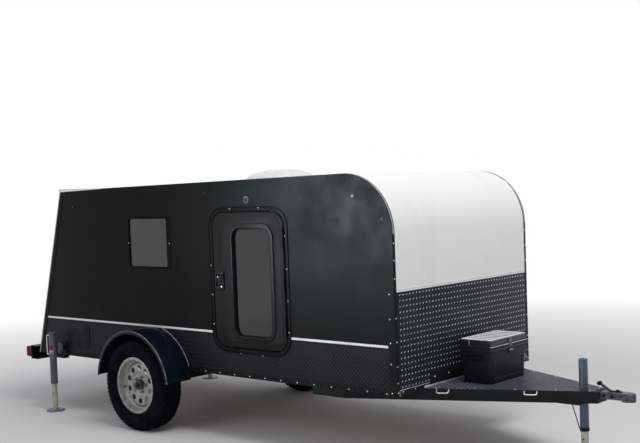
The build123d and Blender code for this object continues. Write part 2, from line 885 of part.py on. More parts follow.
# Tongue deck with a hole for the jack and a low edge turned up at its rear
with BuildPart() as deck:
    with BuildSketch(Plane.XY.offset(rail_top_z)):
        with BuildLine():
            Polyline(
                (front_x + deck_rear_ahead, -rail_y(deck_rear_ahead)),
                (front_x + deck_front_ahead, -rail_y(deck_front_ahead)),
                (front_x + deck_front_ahead, rail_y(deck_front_ahead)),
                (front_x + deck_rear_ahead, rail_y(deck_rear_ahead)),
                close=True,
            )
        make_face()
        with Locations((jack_x, 0)):
            Circle(jack_radius + panel_gap, mode=Mode.SUBTRACT)
    extrude(amount=deck_thickness)
    with BuildSketch(Plane.XY.offset(deck_z)):
        with Locations((front_x + deck_rear_ahead + deck_thickness / 2, 0)):
            Rectangle(deck_thickness, 2 * rail_y(deck_rear_ahead + deck_thickness))
    extrude(amount=deck_stop_height)
save(deck.part, "tongue_deck")

# Tie-down loops of bent rod on the rails' outer faces
with BuildPart() as loops:
    for ahead in loop_places:
        rail_face = Plane(
            origin=(front_x + ahead, -rail_y(ahead), rail_top_z - loop_rod),
            x_dir=(cos(radians(tongue_half_angle)), sin(radians(tongue_half_angle)), 0),
            z_dir=(0, 0, 1),
        )
        with BuildLine(rail_face) as bend:
            Polyline(
                (-loop_length / 2, 0),
                (-loop_length / 2, -loop_stand_off),
                (loop_length / 2, -loop_stand_off),
                (loop_length / 2, 0),
            )
        with BuildSketch(Plane(origin=bend.line @ 0, z_dir=bend.line % 0)):
            Circle(loop_rod)
        sweep(path=bend.line, transition=Transition.RIGHT)
save(both_sides(loops.part), "tie_down_loops")

# Coupler: channel over the A-frame's nose, round head with a ball socket
with BuildPart() as coupler:
    with BuildSketch(Plane.XY.offset(coupler_mouth_z)):
        with BuildLine():
            Polyline(
                (coupler_ball_x, -coupler_width / 2),
                (front_x + tongue_end_ahead + panel_gap, -coupler_width / 2),
                (front_x + tongue_end_ahead + panel_gap, coupler_width / 2),
                (coupler_ball_x, coupler_width / 2),
                close=True,
            )
        make_face()
        with Locations((coupler_ball_x, 0)):
            Circle(ball_radius + ball_clearance + socket_wall)
    extrude(amount=coupler_height)
    with BuildSketch(Plane.XY.offset(coupler_mouth_z)):
        with Locations((front_x + tongue_end_ahead, 0)):
            Rectangle(2 * (coupler_ball_x - coupler_width / 2 - front_x - tongue_end_ahead), 2 * coupler_width)
    extrude(amount=coupler_height - channel_height, mode=Mode.SUBTRACT)
    chamfer(coupler.faces().sort_by(Axis.Z)[-1].edges(), coupler_chamfer)
    with Locations((coupler_ball_x, 0, coupler_ball_z)):
        Cone(ball_radius + ball_clearance, cup_top_radius, ball_radius, align=(Align.CENTER, Align.CENTER, Align.MIN),
             mode=Mode.SUBTRACT)
    with BuildSketch(Plane.XY.offset(coupler_mouth_z)):
        with Locations((coupler_ball_x, 0)):
            Circle(ball_radius + ball_clearance)
    extrude(amount=socket_mouth, mode=Mode.SUBTRACT)
save(coupler.part, "coupler")

# Coupler lever: flat on the channel, then bent up to a round grip
with BuildPart() as coupler_latch:
    with BuildSketch(side_plane(-lever_width / 2)):
        with BuildLine():
            Polyline(
                (lever_front_x, rail_top_z),
                (lever_front_x, rail_top_z + lever_thickness),
                (lever_rear_x + lever_thickness / 2, rail_top_z + lever_thickness),
                (grip_x + lever_thickness / 2, grip_z + lever_thickness / 2),
                (grip_x - lever_thickness / 2, grip_z - lever_thickness / 2),
                (lever_rear_x, rail_top_z),
                close=True,
            )
        make_face()
        with Locations((grip_x, grip_z)):
            Circle(grip_radius)
    extrude(amount=-lever_width)
save(coupler_latch.part, "coupler_latch")

# Tongue jack: outer tube through the deck with its bracket under the rails, inner leg with foot
with BuildPart() as tongue_jack:
    with BuildSketch(Plane.XY.offset(jack_bottom_z)):
        with Locations((jack_x, 0)):
            Circle(jack_radius)
    extrude(amount=jack_top_z - jack_bottom_z)
    with BuildSketch(Plane.XY.offset(jack_bottom_z)):
        with Locations((jack_x, 0)):
            Circle(leg_radius + panel_gap)
    extrude(amount=jack_top_z - jack_bottom_z - jack_cap, mode=Mode.SUBTRACT)
    with BuildSketch(Plane.XY.offset(jack_top_z)):
        with Locations((jack_x, 0)):
            Circle(jack_stud_radius)
    extrude(amount=jack_stud_height)
    with BuildSketch(Plane.XY.offset(rail_top_z - tongue_height - jack_bracket_thickness)):
        with Locations((jack_x - jack_bracket_setback, 0)):
            Rectangle(jack_bracket, 2 * rail_y(jack_ahead))
        with Locations((jack_x, 0)):
            Circle(leg_radius + panel_gap, mode=Mode.SUBTRACT)
    extrude(amount=jack_bracket_thickness)
save(tongue_jack.part, "tongue_jack")

with BuildPart() as tongue_leg:
    with BuildSketch(Plane.XY):
        with Locations((jack_x, 0)):
            Circle(foot_radius)
    extrude(amount=foot_thickness)
    with BuildSketch(Plane.XY.offset(foot_thickness)):
        with Locations((jack_x, 0)):
            Circle(leg_radius)
    extrude(amount=jack_bottom_z - foot_thickness + leg_overlap)
save(tongue_leg.part, "tongue_leg")

# Tool box: flared tub and lid, open inside, with handles on the ends and a catch in front
box_hinges = [
    Plane(origin=(box_hinge_x, place + hinge_length / 2, box_hinge_z), x_dir=(0, 0, 1), z_dir=(0, -1, 0))
    for place in (-small_hinge_spread * box_length, small_hinge_spread * box_length)
]
tub_shoulder_z = box_rim_z - tub_rim_height
lid_low_z = box_rim_z + lid_gap


def box_section(z, grow, inner=0.0):
    """One rounded rectangle of the box, grown by the flare and rim, less a wall."""
    with BuildSketch(Plane.XY.offset(z)) as section:
        with Locations((box_x, 0)):
            RectangleRounded(box_depth + 2 * grow - 2 * inner, box_length + 2 * grow - 2 * inner, box_corner)
    return section.sketch


with BuildPart() as tub:
    loft([box_section(deck_z + panel_gap, 0), box_section(tub_shoulder_z, box_flare)])
    extrude(box_section(tub_shoulder_z, box_flare + box_rim), amount=tub_rim_height)
    for end in (-1, 1):
        with BuildSketch(side_plane(end * (box_length / 2 + box_flare))):
            with Locations((box_x, handle_z)):
                SlotOverall(handle_length, handle_height)
        extrude(amount=end * handle_depth)
    with BuildSketch(Plane.YZ.offset(box_x + box_depth / 2 + box_flare + box_rim - catch_stand_off)):
        with Locations((0, tub_shoulder_z - hook_height / 2)):
            Rectangle(hook_width, hook_height)
    extrude(amount=-hook_depth)
    loft([box_section(deck_z + panel_gap + box_wall, 0, box_wall), box_section(box_rim_z, box_flare, box_wall)],
         mode=Mode.SUBTRACT)
    for hinge_axis in box_hinges:
        add(carrier_hinge(hinge_axis, strap=tub_rim_height))
save(tub.part, "tool_box")

with BuildPart() as box_lid:
    extrude(box_section(lid_low_z, box_flare + box_rim), amount=lid_rim_height)
    loft([box_section(lid_low_z + lid_rim_height, box_flare + box_rim - lid_shoulder_width),
          box_section(lid_low_z + lid_height, box_flare - lid_draft)])
    with BuildSketch(Plane.YZ.offset(box_x + box_depth / 2 + box_flare + box_rim + catch_stand_off)):
        with Locations((0, lid_low_z + catch_height / 2)):
            Rectangle(catch_width, catch_height)
    extrude(amount=-catch_depth)
    extrude(box_section(lid_low_z, box_flare, box_wall), amount=lid_height - box_wall, mode=Mode.SUBTRACT)
    for hinge_axis in box_hinges:
        add(leaf_hinge(hinge_axis, strap=lid_rim_height))
save(box_lid.part, "tool_box_lid")

# Axle beam under the springs
spring_y = inner_half - chassis_width / 2
with BuildPart() as axle:
    with BuildSketch(side_plane(-wheel_y + rim_width / 2 - 20)):
        with Locations((axle_x, axle_z)):
            Circle(axle_radius)
    extrude(amount=-2 * (wheel_y - rim_width / 2 + 20))
    with BuildSketch(side_plane(-spindle_end_y)):
        with Locations((axle_x, axle_z)):
            Circle(spindle_radius)
    extrude(amount=-2 * spindle_end_y)
save(axle.part, "axle")

# Leaf springs: leaves of falling length under the main leaf, on top of the axle
spring_seat_z = axle_z + axle_radius
hanger_bottom_z = spring_seat_z + spring_rise + 2 * leaf_thickness
leaf_table = (
    # share of the half length, place above the seat
    (1.00, 2),
    (0.72, 1),
    (0.44, 0),
)


def leaf_profile(share, level):
    """One leaf, bent up towards its ends, drawn on the side plane."""
    reach = spring_half_length * share
    rise = spring_rise * share**2
    base = spring_seat_z + level * leaf_thickness
    with BuildSketch(side_plane(-spring_y - spring_width / 2)) as profile:
        with BuildLine():
            ThreePointArc((axle_x - reach, base + rise), (axle_x, base), (axle_x + reach, base + rise))
            Line((axle_x + reach, base + rise), (axle_x + reach, base + rise + leaf_thickness))
            ThreePointArc(
                (axle_x + reach, base + rise + leaf_thickness),
                (axle_x, base + leaf_thickness),
                (axle_x - reach, base + rise + leaf_thickness),
            )
            Line((axle_x - reach, base + rise + leaf_thickness), (axle_x - reach, base + rise))
        make_face()
    return profile.sketch


with BuildPart() as spring:
    for share, level in leaf_table:
        extrude(leaf_profile(share, level), amount=-spring_width)
    for end in (-1, 1):
        with BuildSketch(side_plane(-spring_y - spring_width / 2)):
            with Locations((axle_x + end * spring_half_length, (hanger_bottom_z + rail_top_z) / 2)):
                Rectangle(hanger_length, rail_top_z - hanger_bottom_z)
        extrude(amount=-spring_width)
save(both_sides(spring.part), "leaf_springs")

# Wheels: drop-centre rim, pierced disc with a sunk nut seat, hub and cap; tyre
half_rim = rim_width / 2
disc_out = half_rim - disc_setback
seat_out = disc_out - disc_step
bore_end = spindle_end_y - wheel_y + 1
well_radius = tyre_bead_radius - rim_well_depth
wheel_profile = (
    # out from the rim's middle, radius: tyre side of the rim, from the inner flange to the outer
    (-half_rim, tyre_bead_radius - rim_wall),
    (-half_rim, rim_flange_radius),
    (-half_rim + rim_lip, rim_flange_radius),
    (-half_rim + rim_lip, tyre_bead_radius),
    (-rim_well_half, well_radius),
    (rim_well_half, well_radius),
    (half_rim - rim_lip, tyre_bead_radius),
    (half_rim - rim_lip, rim_flange_radius),
    (half_rim, rim_flange_radius),
    (half_rim, tyre_bead_radius - rim_wall / 2),
    # outer side: groove, hole ring, nut seat, hub and cap
    (disc_out - groove_depth, groove_radius + rim_wall),
    (disc_out - groove_depth, groove_radius),
    (disc_out, disc_radius),
    (disc_out, disc_step_radius),
    (seat_out, disc_seat_radius),
    (seat_out, hub_radius),
    (seat_out + hub_rise, hub_radius - rim_wall / 2),
    (seat_out + hub_rise, cap_radius),
    (cap_reach, cap_radius - rim_wall / 2),
    (cap_reach, 0),
    # spindle bore and inner side
    (bore_end, 0),
    (bore_end, spindle_radius + pin_clearance),
    (-hub_inner, spindle_radius + pin_clearance),
    (-hub_inner, hub_back_radius),
    (seat_out - disc_thickness, hub_back_radius),
    (seat_out - disc_thickness, disc_seat_radius + disc_thickness / 2),
    (disc_out - disc_thickness, disc_step_radius + disc_thickness / 2),
    (disc_out - disc_thickness, disc_radius - disc_thickness / 2),
    (disc_out - groove_depth - disc_thickness, well_radius - rim_wall),
    (-rim_well_half, well_radius - rim_wall),
)
with BuildPart() as wheel:
    with BuildSketch(Plane(origin=(axle_x, -wheel_y, axle_z), x_dir=(0, -1, 0), z_dir=(1, 0, 0))):
        with BuildLine():
            Polyline(*wheel_profile, close=True)
        make_face()
    revolve(axis=Axis((axle_x, -wheel_y, axle_z), (0, -1, 0)))
    with BuildSketch(side_plane(-wheel_y - half_rim)):
        with Locations((axle_x, axle_z)):
            with PolarLocations(rim_hole_circle, rim_hole_count):
                Circle(rim_hole_radius)
    extrude(amount=-half_rim, mode=Mode.SUBTRACT)
    with BuildSketch(side_plane(-wheel_y - seat_out)):
        with Locations((axle_x, axle_z)):
            with PolarLocations(lug_circle, lug_count):
                RegularPolygon(lug_radius, 6)
    extrude(amount=lug_height)
save_pair(wheel.part, "wheel")

half_tyre = tyre_width / 2
seat_half = half_rim - rim_lip - panel_gap
tyre_profile = (
    # out from the middle, radius; repeated on the other side
    (seat_half, tyre_bead_radius + panel_gap),
    (seat_half, rim_flange_radius + 1),
    (half_tyre, tyre_bead_radius + 72),
    (half_tyre - 7, tyre_radius - 20),
    (half_tyre - 26, tyre_radius),
)
with BuildPart() as tyre:
    with BuildSketch(Plane(origin=(axle_x, -wheel_y, axle_z), x_dir=(0, -1, 0), z_dir=(1, 0, 0))):
        with BuildLine():
            Polyline(*tyre_profile, *[(-out, radius) for out, radius in reversed(tyre_profile)], close=True)
        make_face()
    revolve(axis=Axis((axle_x, -wheel_y, axle_z), (0, -1, 0)))
save_pair(tyre.part, "tyre")

# Fenders: half-round sheet with a turned-down lip on its outer edge and a flange against the body
with BuildPart() as fender:
    with BuildSketch(side_plane(-half_width - skin)):
        with Locations((axle_x, axle_z)):
            Circle(fender_radius)
            Circle(fender_radius - fender_sheet, mode=Mode.SUBTRACT)
        with Locations((axle_x, fender_end_z - fender_radius)):
            Rectangle(3 * fender_radius, 2 * fender_radius, mode=Mode.SUBTRACT)
    extrude(amount=fender_width - skin)
    with BuildSketch(side_plane(-half_width - fender_width)):
        with Locations((axle_x, axle_z)):
            Circle(fender_radius)
            Circle(fender_radius - fender_lip, mode=Mode.SUBTRACT)
        with Locations((axle_x, fender_end_z - fender_radius)):
            Rectangle(3 * fender_radius, 2 * fender_radius, mode=Mode.SUBTRACT)
    extrude(amount=-fender_sheet)
    with BuildSketch(side_plane(-half_width - skin)):
        with Locations((axle_x, axle_z)):
            Circle(fender_radius + fender_flange)
            Circle(fender_radius - fender_sheet, mode=Mode.SUBTRACT)
        with Locations((axle_x, fender_flange_end_z - fender_radius)):
            Rectangle(3 * fender_radius, 2 * fender_radius, mode=Mode.SUBTRACT)
        with Locations((axle_x, strip_z - strip_height / 2 - panel_gap + fender_radius)):
            Rectangle(3 * fender_radius, 2 * fender_radius, mode=Mode.SUBTRACT)
    extrude(amount=fender_sheet)
save_pair(fender.part, "fender")

# Rear bumper: channel, open to the front, on two arms from the chassis, and tail lamps on its back
bumper_front_x = front_x - floor_length - bumper_gap
bumper_rear_x = bumper_front_x - bumper_depth
bumper_z = bumper_top_z - bumper_height / 2
arm_front_x = chassis_rear_x + bumper_arm_lap
with BuildPart() as bumper:
    with BuildSketch(side_plane(-bumper_half_width)):
        with Locations(((bumper_front_x + bumper_rear_x) / 2, bumper_z)):
            Rectangle(bumper_depth, bumper_height)
        with Locations(((bumper_front_x + bumper_rear_x) / 2 + bumper_wall, bumper_z)):
            Rectangle(bumper_depth, bumper_height - 2 * bumper_wall, mode=Mode.SUBTRACT)
    extrude(amount=-2 * bumper_half_width)
    with BuildSketch(Plane.XY.offset(bumper_top_z - bumper_height)):
        for end in (-1, 1):
            with Locations(((arm_front_x + bumper_rear_x) / 2, end * (inner_half - bumper_arm_inset))):
                Rectangle(arm_front_x - bumper_rear_x, chassis_width)
    extrude(amount=rail_top_z - bumper_top_z + bumper_height)
save(bumper.part, "rear_bumper")

lamp_plane = Plane(origin=(bumper_rear_x, 0, bumper_z), x_dir=(0, -1, 0), z_dir=(-1, 0, 0))
lamp_y = bumper_half_width - lamp_width / 2 - lamp_edge
with BuildPart() as lamps:
    with BuildSketch(lamp_plane):
        with Locations((lamp_y, 0)):
            RectangleRounded(lamp_width, lamp_height, lamp_corner)
    extrude(amount=lamp_base)
save(both_sides(lamps.part), "tail_lamp_bases")
with BuildPart() as lenses:
    with BuildSketch(lamp_plane.offset(lamp_base)):
        with Locations((lamp_y, 0)):
            RectangleRounded(lamp_width - 2 * lens_inset, lamp_height - 2 * lens_inset, lamp_corner)
    extrude(amount=lamp_depth)
save(both_sides(lenses.part), "tail_lamp_lenses")

# Side marker lamps and porch lamps
marker_table = (
    # aft, height
    (front_radius - marker_setback, roof_front_z - marker_front_drop),
    (roof_length - rear_marker_ahead, roof_rear_z - marker_rear_drop),
)
with BuildPart() as markers:
    for aft, height in marker_table:
        with BuildSketch(side_plane(-half_width - skin)):
            with Locations((front_x - aft, height)):
                Circle(marker_radius)
        extrude(amount=marker_depth, taper=marker_taper)
save(both_sides(markers.part), "marker_lamps")

with BuildPart() as porch:
    with BuildSketch(side_plane(-half_width - skin)):
        with Locations((front_x - porch_aft, porch_z)):
            Circle(porch_radius)
    extrude(amount=porch_depth)
save(both_sides(porch.part), "porch_lamps")

# Stabilizer jack brackets, swivelling tubes and legs
bracket_y = half_width + skin + trim_thickness
with BuildPart() as bracket:
    with BuildSketch(side_plane(-bracket_y)):
        with Locations((stab_pivot_x, stab_pivot_z)):
            Rectangle(stab_plate, stab_plate)
    extrude(amount=stab_plate_thickness)
    with BuildSketch(side_plane(-bracket_y - stab_plate_thickness)):
        with Locations((stab_pivot_x, stab_pivot_z)):
            Circle(spigot_radius)
    extrude(amount=half_width + spigot_end - bracket_y - stab_plate_thickness)
save(both_sides(bracket.part), "jack_brackets")

crank_z = stab_top_z - crank_top_drop
crank_x = stab_x - stab_radius - crank_reach
with BuildPart() as stab:
    with BuildSketch(Plane.XY.offset(stab_bottom_z)):
        with Locations((stab_x, -stab_y)):
            Circle(stab_radius)
    extrude(amount=stab_top_z - stab_bottom_z)
    with BuildSketch(Plane.XY.offset(stab_top_z)):
        with Locations((stab_x, -stab_y)):
            Circle(stab_radius + stab_cap_lip)
    extrude(amount=stab_cap)
    with BuildSketch(side_plane(-half_width - swivel_inner)):
        with Locations((stab_pivot_x, stab_pivot_z)):
            Circle(swivel_radius)
    extrude(amount=swivel_outer - swivel_inner)
    with BuildSketch(side_plane(-half_width - swivel_inner)):
        with Locations((stab_pivot_x, stab_pivot_z)):
            Circle(spigot_radius + pin_clearance)
    extrude(amount=spigot_end + knuckle_gap - swivel_inner, mode=Mode.SUBTRACT)
    with BuildSketch(Plane.XY.offset(stab_bottom_z)):
        with Locations((stab_x, -stab_y)):
            Circle(stab_leg_radius + panel_gap)
    extrude(amount=stab_top_z - stab_bottom_z, mode=Mode.SUBTRACT)
    with BuildLine() as crank_path:
        Polyline(
            (stab_x - stab_leg_radius - 2 * panel_gap, -stab_y, crank_z),
            (crank_x, -stab_y, crank_z),
            (crank_x, -stab_y, crank_z - crank_drop),
            (crank_x + crank_handle, -stab_y, crank_z - crank_drop),
        )
    with BuildSketch(Plane(origin=crank_path.line @ 0, z_dir=crank_path.line % 0)):
        Circle(crank_radius)
    sweep(path=crank_path.line, transition=Transition.RIGHT)
save_pair(stab.part, "stabilizer")

with BuildPart() as stab_leg:
    with BuildSketch(Plane.XY):
        with Locations((stab_x, -stab_y)):
            Circle(foot_radius)
    extrude(amount=foot_thickness)
    with BuildSketch(Plane.XY.offset(foot_thickness)):
        with Locations((stab_x, -stab_y)):
            Circle(stab_leg_radius)
    extrude(amount=stab_bottom_z - foot_thickness + stab_leg_overlap)
save_pair(stab_leg.part, "stabilizer_leg")
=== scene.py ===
import math
import bmesh
import bpy
from mathutils import Matrix, Vector
from mathutils.geometry import tessellate_polygon


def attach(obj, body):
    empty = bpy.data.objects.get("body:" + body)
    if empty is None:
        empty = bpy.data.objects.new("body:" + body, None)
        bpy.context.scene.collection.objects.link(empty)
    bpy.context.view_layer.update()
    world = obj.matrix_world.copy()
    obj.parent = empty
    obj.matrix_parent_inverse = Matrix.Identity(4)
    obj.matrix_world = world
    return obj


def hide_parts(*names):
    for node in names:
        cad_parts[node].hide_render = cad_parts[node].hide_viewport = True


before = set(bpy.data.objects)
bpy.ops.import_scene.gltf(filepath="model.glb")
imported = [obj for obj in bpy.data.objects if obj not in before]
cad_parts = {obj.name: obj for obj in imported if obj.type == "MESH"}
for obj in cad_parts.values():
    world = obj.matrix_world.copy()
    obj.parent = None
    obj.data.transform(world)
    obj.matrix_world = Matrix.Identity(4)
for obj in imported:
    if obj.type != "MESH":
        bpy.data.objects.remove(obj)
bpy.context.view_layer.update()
scene = bpy.context.scene
print("frame loaded,", len(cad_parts), "nodes")

# Sizes of the body that several pieces share, in metres; x = frontX - distance aft,
# and each face is a distance out from the middle
shell = {"frontX": 1.4025, "wall": 0.038, "skin": 0.002, "floorLength": 3.764, "roofLength": 3.370,
         "skirtZ": 0.448, "roofFrontZ": 1.808, "roofRearZ": 1.780, "frontRadius": 0.373,
         "roofJointAft": 0.620, "stripZ": 0.7495, "axleX": -0.8705, "axleZ": 0.335, "coreFace": 0.762,
         "skinFace": 0.764, "doorFace": 0.766, "trimFace": 0.767}
frontX, skirtZ, stripZ, axleX, axleZ = (shell[key]
                                        for key in ("frontX", "skirtZ", "stripZ", "axleX", "axleZ"))
coreFace, skinFace, doorFace, trimFace = (shell[key]
                                          for key in ("coreFace", "skinFace", "doorFace", "trimFace"))
rearSlope = (shell["floorLength"] - shell["roofLength"]) / (shell["roofRearZ"] - skirtZ)
roofFall = (shell["roofFrontZ"] - shell["roofRearZ"]) / (shell["roofLength"] - shell["frontRadius"])
lean = math.atan(rearSlope)
arcCentre = (frontX - shell["frontRadius"], shell["roofFrontZ"] - shell["frontRadius"])


def rearX(z, inset=0.0):
    return frontX - shell["floorLength"] + (z - skirtZ) * rearSlope + inset * math.hypot(1, rearSlope)


def roofZ(aft):
    return shell["roofFrontZ"] - (aft - shell["frontRadius"]) * roofFall


# ---- camera at the place worked out from the photo
view = {"place": (5.2745, -5.765, 1.711), "yaw": 41.678, "pitch": -2.602, "roll": -2.104,
        "lens": 59.42, "shiftX": 0.0004, "shiftY": 0.0264}
yaw, pitch, roll = (math.radians(view[key]) for key in ("yaw", "pitch", "roll"))
ahead = Vector((-math.sin(yaw) * math.cos(pitch), math.cos(yaw) * math.cos(pitch), math.sin(pitch)))
level = Vector((math.cos(yaw), math.sin(yaw), 0))
upright = level.cross(ahead)
sideways = level * math.cos(roll) + upright * math.sin(roll)
upwards = upright * math.cos(roll) - level * math.sin(roll)
cameraData = bpy.data.cameras.new("camera")
cameraData.sensor_width = 36
cameraData.lens = view["lens"]
cameraData.shift_x = view["shiftX"]
cameraData.shift_y = view["shiftY"]
cameraData.clip_end = 200
cameraObject = bpy.data.objects.new("camera", cameraData)
cameraTurn = Matrix((sideways, upwards, -ahead)).transposed().to_4x4()
cameraObject.matrix_world = Matrix.Translation(view["place"]) @ cameraTurn
scene.collection.objects.link(cameraObject)
scene.camera = cameraObject


# ---- studio: pale floor, soft lamps, white beyond
def put(tree, kind, inputs, operation=None):
    # a new node, its inputs given as values or as outputs of other nodes; returns its outputs
    node = tree.nodes.new(kind)
    if operation:
        node.operation = operation
    for socket, value in inputs.items():
        if isinstance(value, bpy.types.NodeSocket):
            tree.links.new(value, node.inputs[socket])
        elif value is not None:
            node.inputs[socket].default_value = value
    return node.outputs


def brightRays(tree):
    # 1 for rays that show the white beyond: straight, in gloss, and through glass
    rays = put(tree, "ShaderNodeLightPath", {})
    total = rays["Is Camera Ray"]
    for kind in ("Is Glossy Ray", "Is Transmission Ray"):
        total = put(tree, "ShaderNodeMath", {0: total, 1: rays[kind]}, "MAXIMUM")[0]
    return total


studio = {"skyStrength": 0.42, "skyColor": (0.93, 0.96, 1.0, 1), "floorColor": (0.80, 0.80, 0.79),
          "fadeFrom": 3.0, "fadeTo": 8.5}
scene.view_settings.view_transform = "Standard"
world = bpy.data.worlds.new("studio")
scene.world = world
world.use_nodes = True
sky = world.node_tree
sky.nodes.clear()
skyLight = put(sky, "ShaderNodeBackground", {"Color": studio["skyColor"], "Strength": studio["skyStrength"]})
skySeen = put(sky, "ShaderNodeBackground", {"Color": (1, 1, 1, 1)})
skyMix = put(sky, "ShaderNodeMixShader", {"Fac": brightRays(sky), 1: skyLight[0], 2: skySeen[0]})
put(sky, "ShaderNodeOutputWorld", {"Surface": skyMix[0]})

# place, target, size, power, colour and spread of each lamp
lamps = {"keyLamp": ((4.2, -0.8, 8.2), (0.6, 0, 0.9), (4.5, 3.5), 340, (1, 0.985, 0.96), 180),
         "sheenLamp": ((-2.97, -5.77, 1.50), (1.15, -0.77, 1.52), (1.6, 1.2), 6.5, (0.80, 0.91, 1), 24),
         "fillLamp": ((-1.5, -7.5, 4.5), (-0.5, 0, 0.8), (6, 3), 70, (0.92, 0.96, 1), 180)}
for name, (place, target, size, power, color, spread) in lamps.items():
    lamp = bpy.data.lights.new(name, "AREA")
    lamp.shape = "RECTANGLE"
    lamp.size, lamp.size_y = size
    lamp.energy = power
    lamp.color = color
    lamp.spread = math.radians(spread)
    lampObject = bpy.data.objects.new(name, lamp)
    scene.collection.objects.link(lampObject)
    facing = (Vector(target) - Vector(place)).to_track_quat("-Z", "Y")
    lampObject.matrix_world = Matrix.Translation(place) @ facing.to_matrix().to_4x4()


# ---- materials
def objectPlace(made):
    return put(made.node_tree, "ShaderNodeTexCoord", {})["Object"]


def objectNoise(made, scale, detail=4.0, stretch=(1, 1, 1), rough=0.55):
    tree = made.node_tree
    mapping = put(tree, "ShaderNodeMapping", {"Vector": objectPlace(made), "Scale": stretch})
    return put(tree, "ShaderNodeTexNoise", {"Vector": mapping["Vector"], "Scale": scale, "Detail": detail,
                                            "Roughness": rough})["Fac"]


def ranged(made, value, low, high, outLow=0.0, outHigh=1.0):
    return put(made.node_tree, "ShaderNodeMapRange", {"Value": value, "From Min": low, "From Max": high,
                                                      "To Min": outLow, "To Max": outHigh})["Result"]


def mathOf(made, kind, first, second):
    return put(made.node_tree, "ShaderNodeMath", {0: first, 1: second}, kind)[0]


def mixColor(made, factor, first, second):
    node = made.node_tree.nodes.new("ShaderNodeMix")
    node.data_type = "RGBA"
    made.node_tree.links.new(factor, node.inputs["Factor"])
    for socket, value in ((node.inputs[6], first), (node.inputs[7], second)):
        if isinstance(value, tuple):
            socket.default_value = (*value, 1)
        else:
            made.node_tree.links.new(value, socket)
    return node.outputs[2]


def feed(made, socket, value):
    made.node_tree.links.new(value, made.node_tree.nodes["Principled BSDF"].inputs[socket])


def placeOf(made, axis):
    return put(made.node_tree, "ShaderNodeSeparateXYZ", {0: objectPlace(made)})[axis]


def facingUp(made):
    attribute = made.node_tree.nodes.new("ShaderNodeAttribute")
    attribute.attribute_name = "looksUp"
    return attribute.outputs["Fac"]


def newPaint(name, color, roughness, tone=None, gloss=None, bump=None, metallic=0.0, specular=0.5, coat=0.0,
             transmission=0.0):
    # tone is a noise, its range, two colours and the share of the second; gloss is a noise and two
    # roughnesses; bump is a noise, its strength and its depth
    made = bpy.data.materials.new(name)
    made.use_nodes = True
    shader = made.node_tree.nodes["Principled BSDF"]
    for socket, value in (("Base Color", (*color, 1)), ("Roughness", roughness), ("Metallic", metallic),
                          ("Specular IOR Level", specular), ("Coat Weight", coat), ("Coat Roughness", 0.12),
                          ("Transmission Weight", transmission)):
        shader.inputs[socket].default_value = value
    if tone:
        noise, low, high, first, second, *share = tone
        mix = ranged(made, objectNoise(made, *noise), low, high, 0.0, *share)
        feed(made, "Base Color", mixColor(made, mix, first, second))
    if gloss:
        noise, least, most = gloss
        feed(made, "Roughness", ranged(made, objectNoise(made, *noise), 0.3, 0.7, least, most))
    if bump:
        noise, strength, distance = bump
        raised = put(made.node_tree, "ShaderNodeBump", {"Strength": strength, "Distance": distance,
                                                        "Height": objectNoise(made, *noise)})
        feed(made, "Normal", raised["Normal"])
    return made


paints = {
    "sheet": (0.0030, 0.0058, 0.0045), "sheetWorn": (0.0070, 0.0105, 0.0090), "dust": (0.10, 0.095, 0.085),
    "white": (0.82, 0.82, 0.81), "whiteLitTop": (0.93, 0.93, 0.91), "whiteStain": (0.68, 0.69, 0.69),
    "alloy": (0.016, 0.024, 0.038), "steel": (0.0065, 0.0075, 0.0085), "fender": (0.0030, 0.0065, 0.0130),
    "grey": (0.070, 0.070, 0.085), "blue": (0.046, 0.070, 0.104), "galvanised": (0.46, 0.45, 0.37),
    "cream": (0.40, 0.40, 0.37), "rubber": (0.0020, 0.0040, 0.0052),
}
even = (1, 1, 1)

# smooth black sheet, with slow streaks down it and dust towards the skirt
blackSheet = newPaint("blackSheet", paints["sheet"], 0.34, None, ((6, 5), 0.28, 0.42),
                      ((420, 2), 0.05, 0.0005), specular=0.045)
streaks = ranged(blackSheet, objectNoise(blackSheet, 1.3, 3, (1.6, 1, 0.35)), 0.32, 0.68)
streaked = mixColor(blackSheet, streaks, paints["sheet"], paints["sheetWorn"])
low = ranged(blackSheet, placeOf(blackSheet, "Z"), 0.44, 0.95, 0.16, 0.0)
dusty = mathOf(blackSheet, "MULTIPLY", low, ranged(blackSheet, objectNoise(blackSheet, 55, 6), 0.42, 0.72))
feed(blackSheet, "Base Color", mixColor(blackSheet, dusty, streaked, paints["dust"]))

# white sheet, painted brighter towards the roof as if lit from above, with faint stains that run down
whiteSheet = newPaint("whiteSheet", paints["white"], 0.38, None, ((38, 4, (1, 1, 0.4)), 0.32, 0.46),
                      specular=0.4)
stain = ranged(whiteSheet, objectNoise(whiteSheet, 2.0, 5, (1, 2.2, 0.5)), 0.48, 0.78, 0, 0.55)
fine = ranged(whiteSheet, objectNoise(whiteSheet, 38, 4, (1, 1, 0.4)), 0.3, 0.7, 0.5, 1)
# painted light: the base colour grows lighter with height, as if lit from above
litFromAbove = ranged(whiteSheet, placeOf(whiteSheet, "Z"), 1.10, 1.75)
ground = mixColor(whiteSheet, litFromAbove, paints["white"], paints["whiteLitTop"])
mark = mathOf(whiteSheet, "MULTIPLY", stain, fine)
feed(whiteSheet, "Base Color", mixColor(whiteSheet, mark, ground, paints["whiteStain"]))
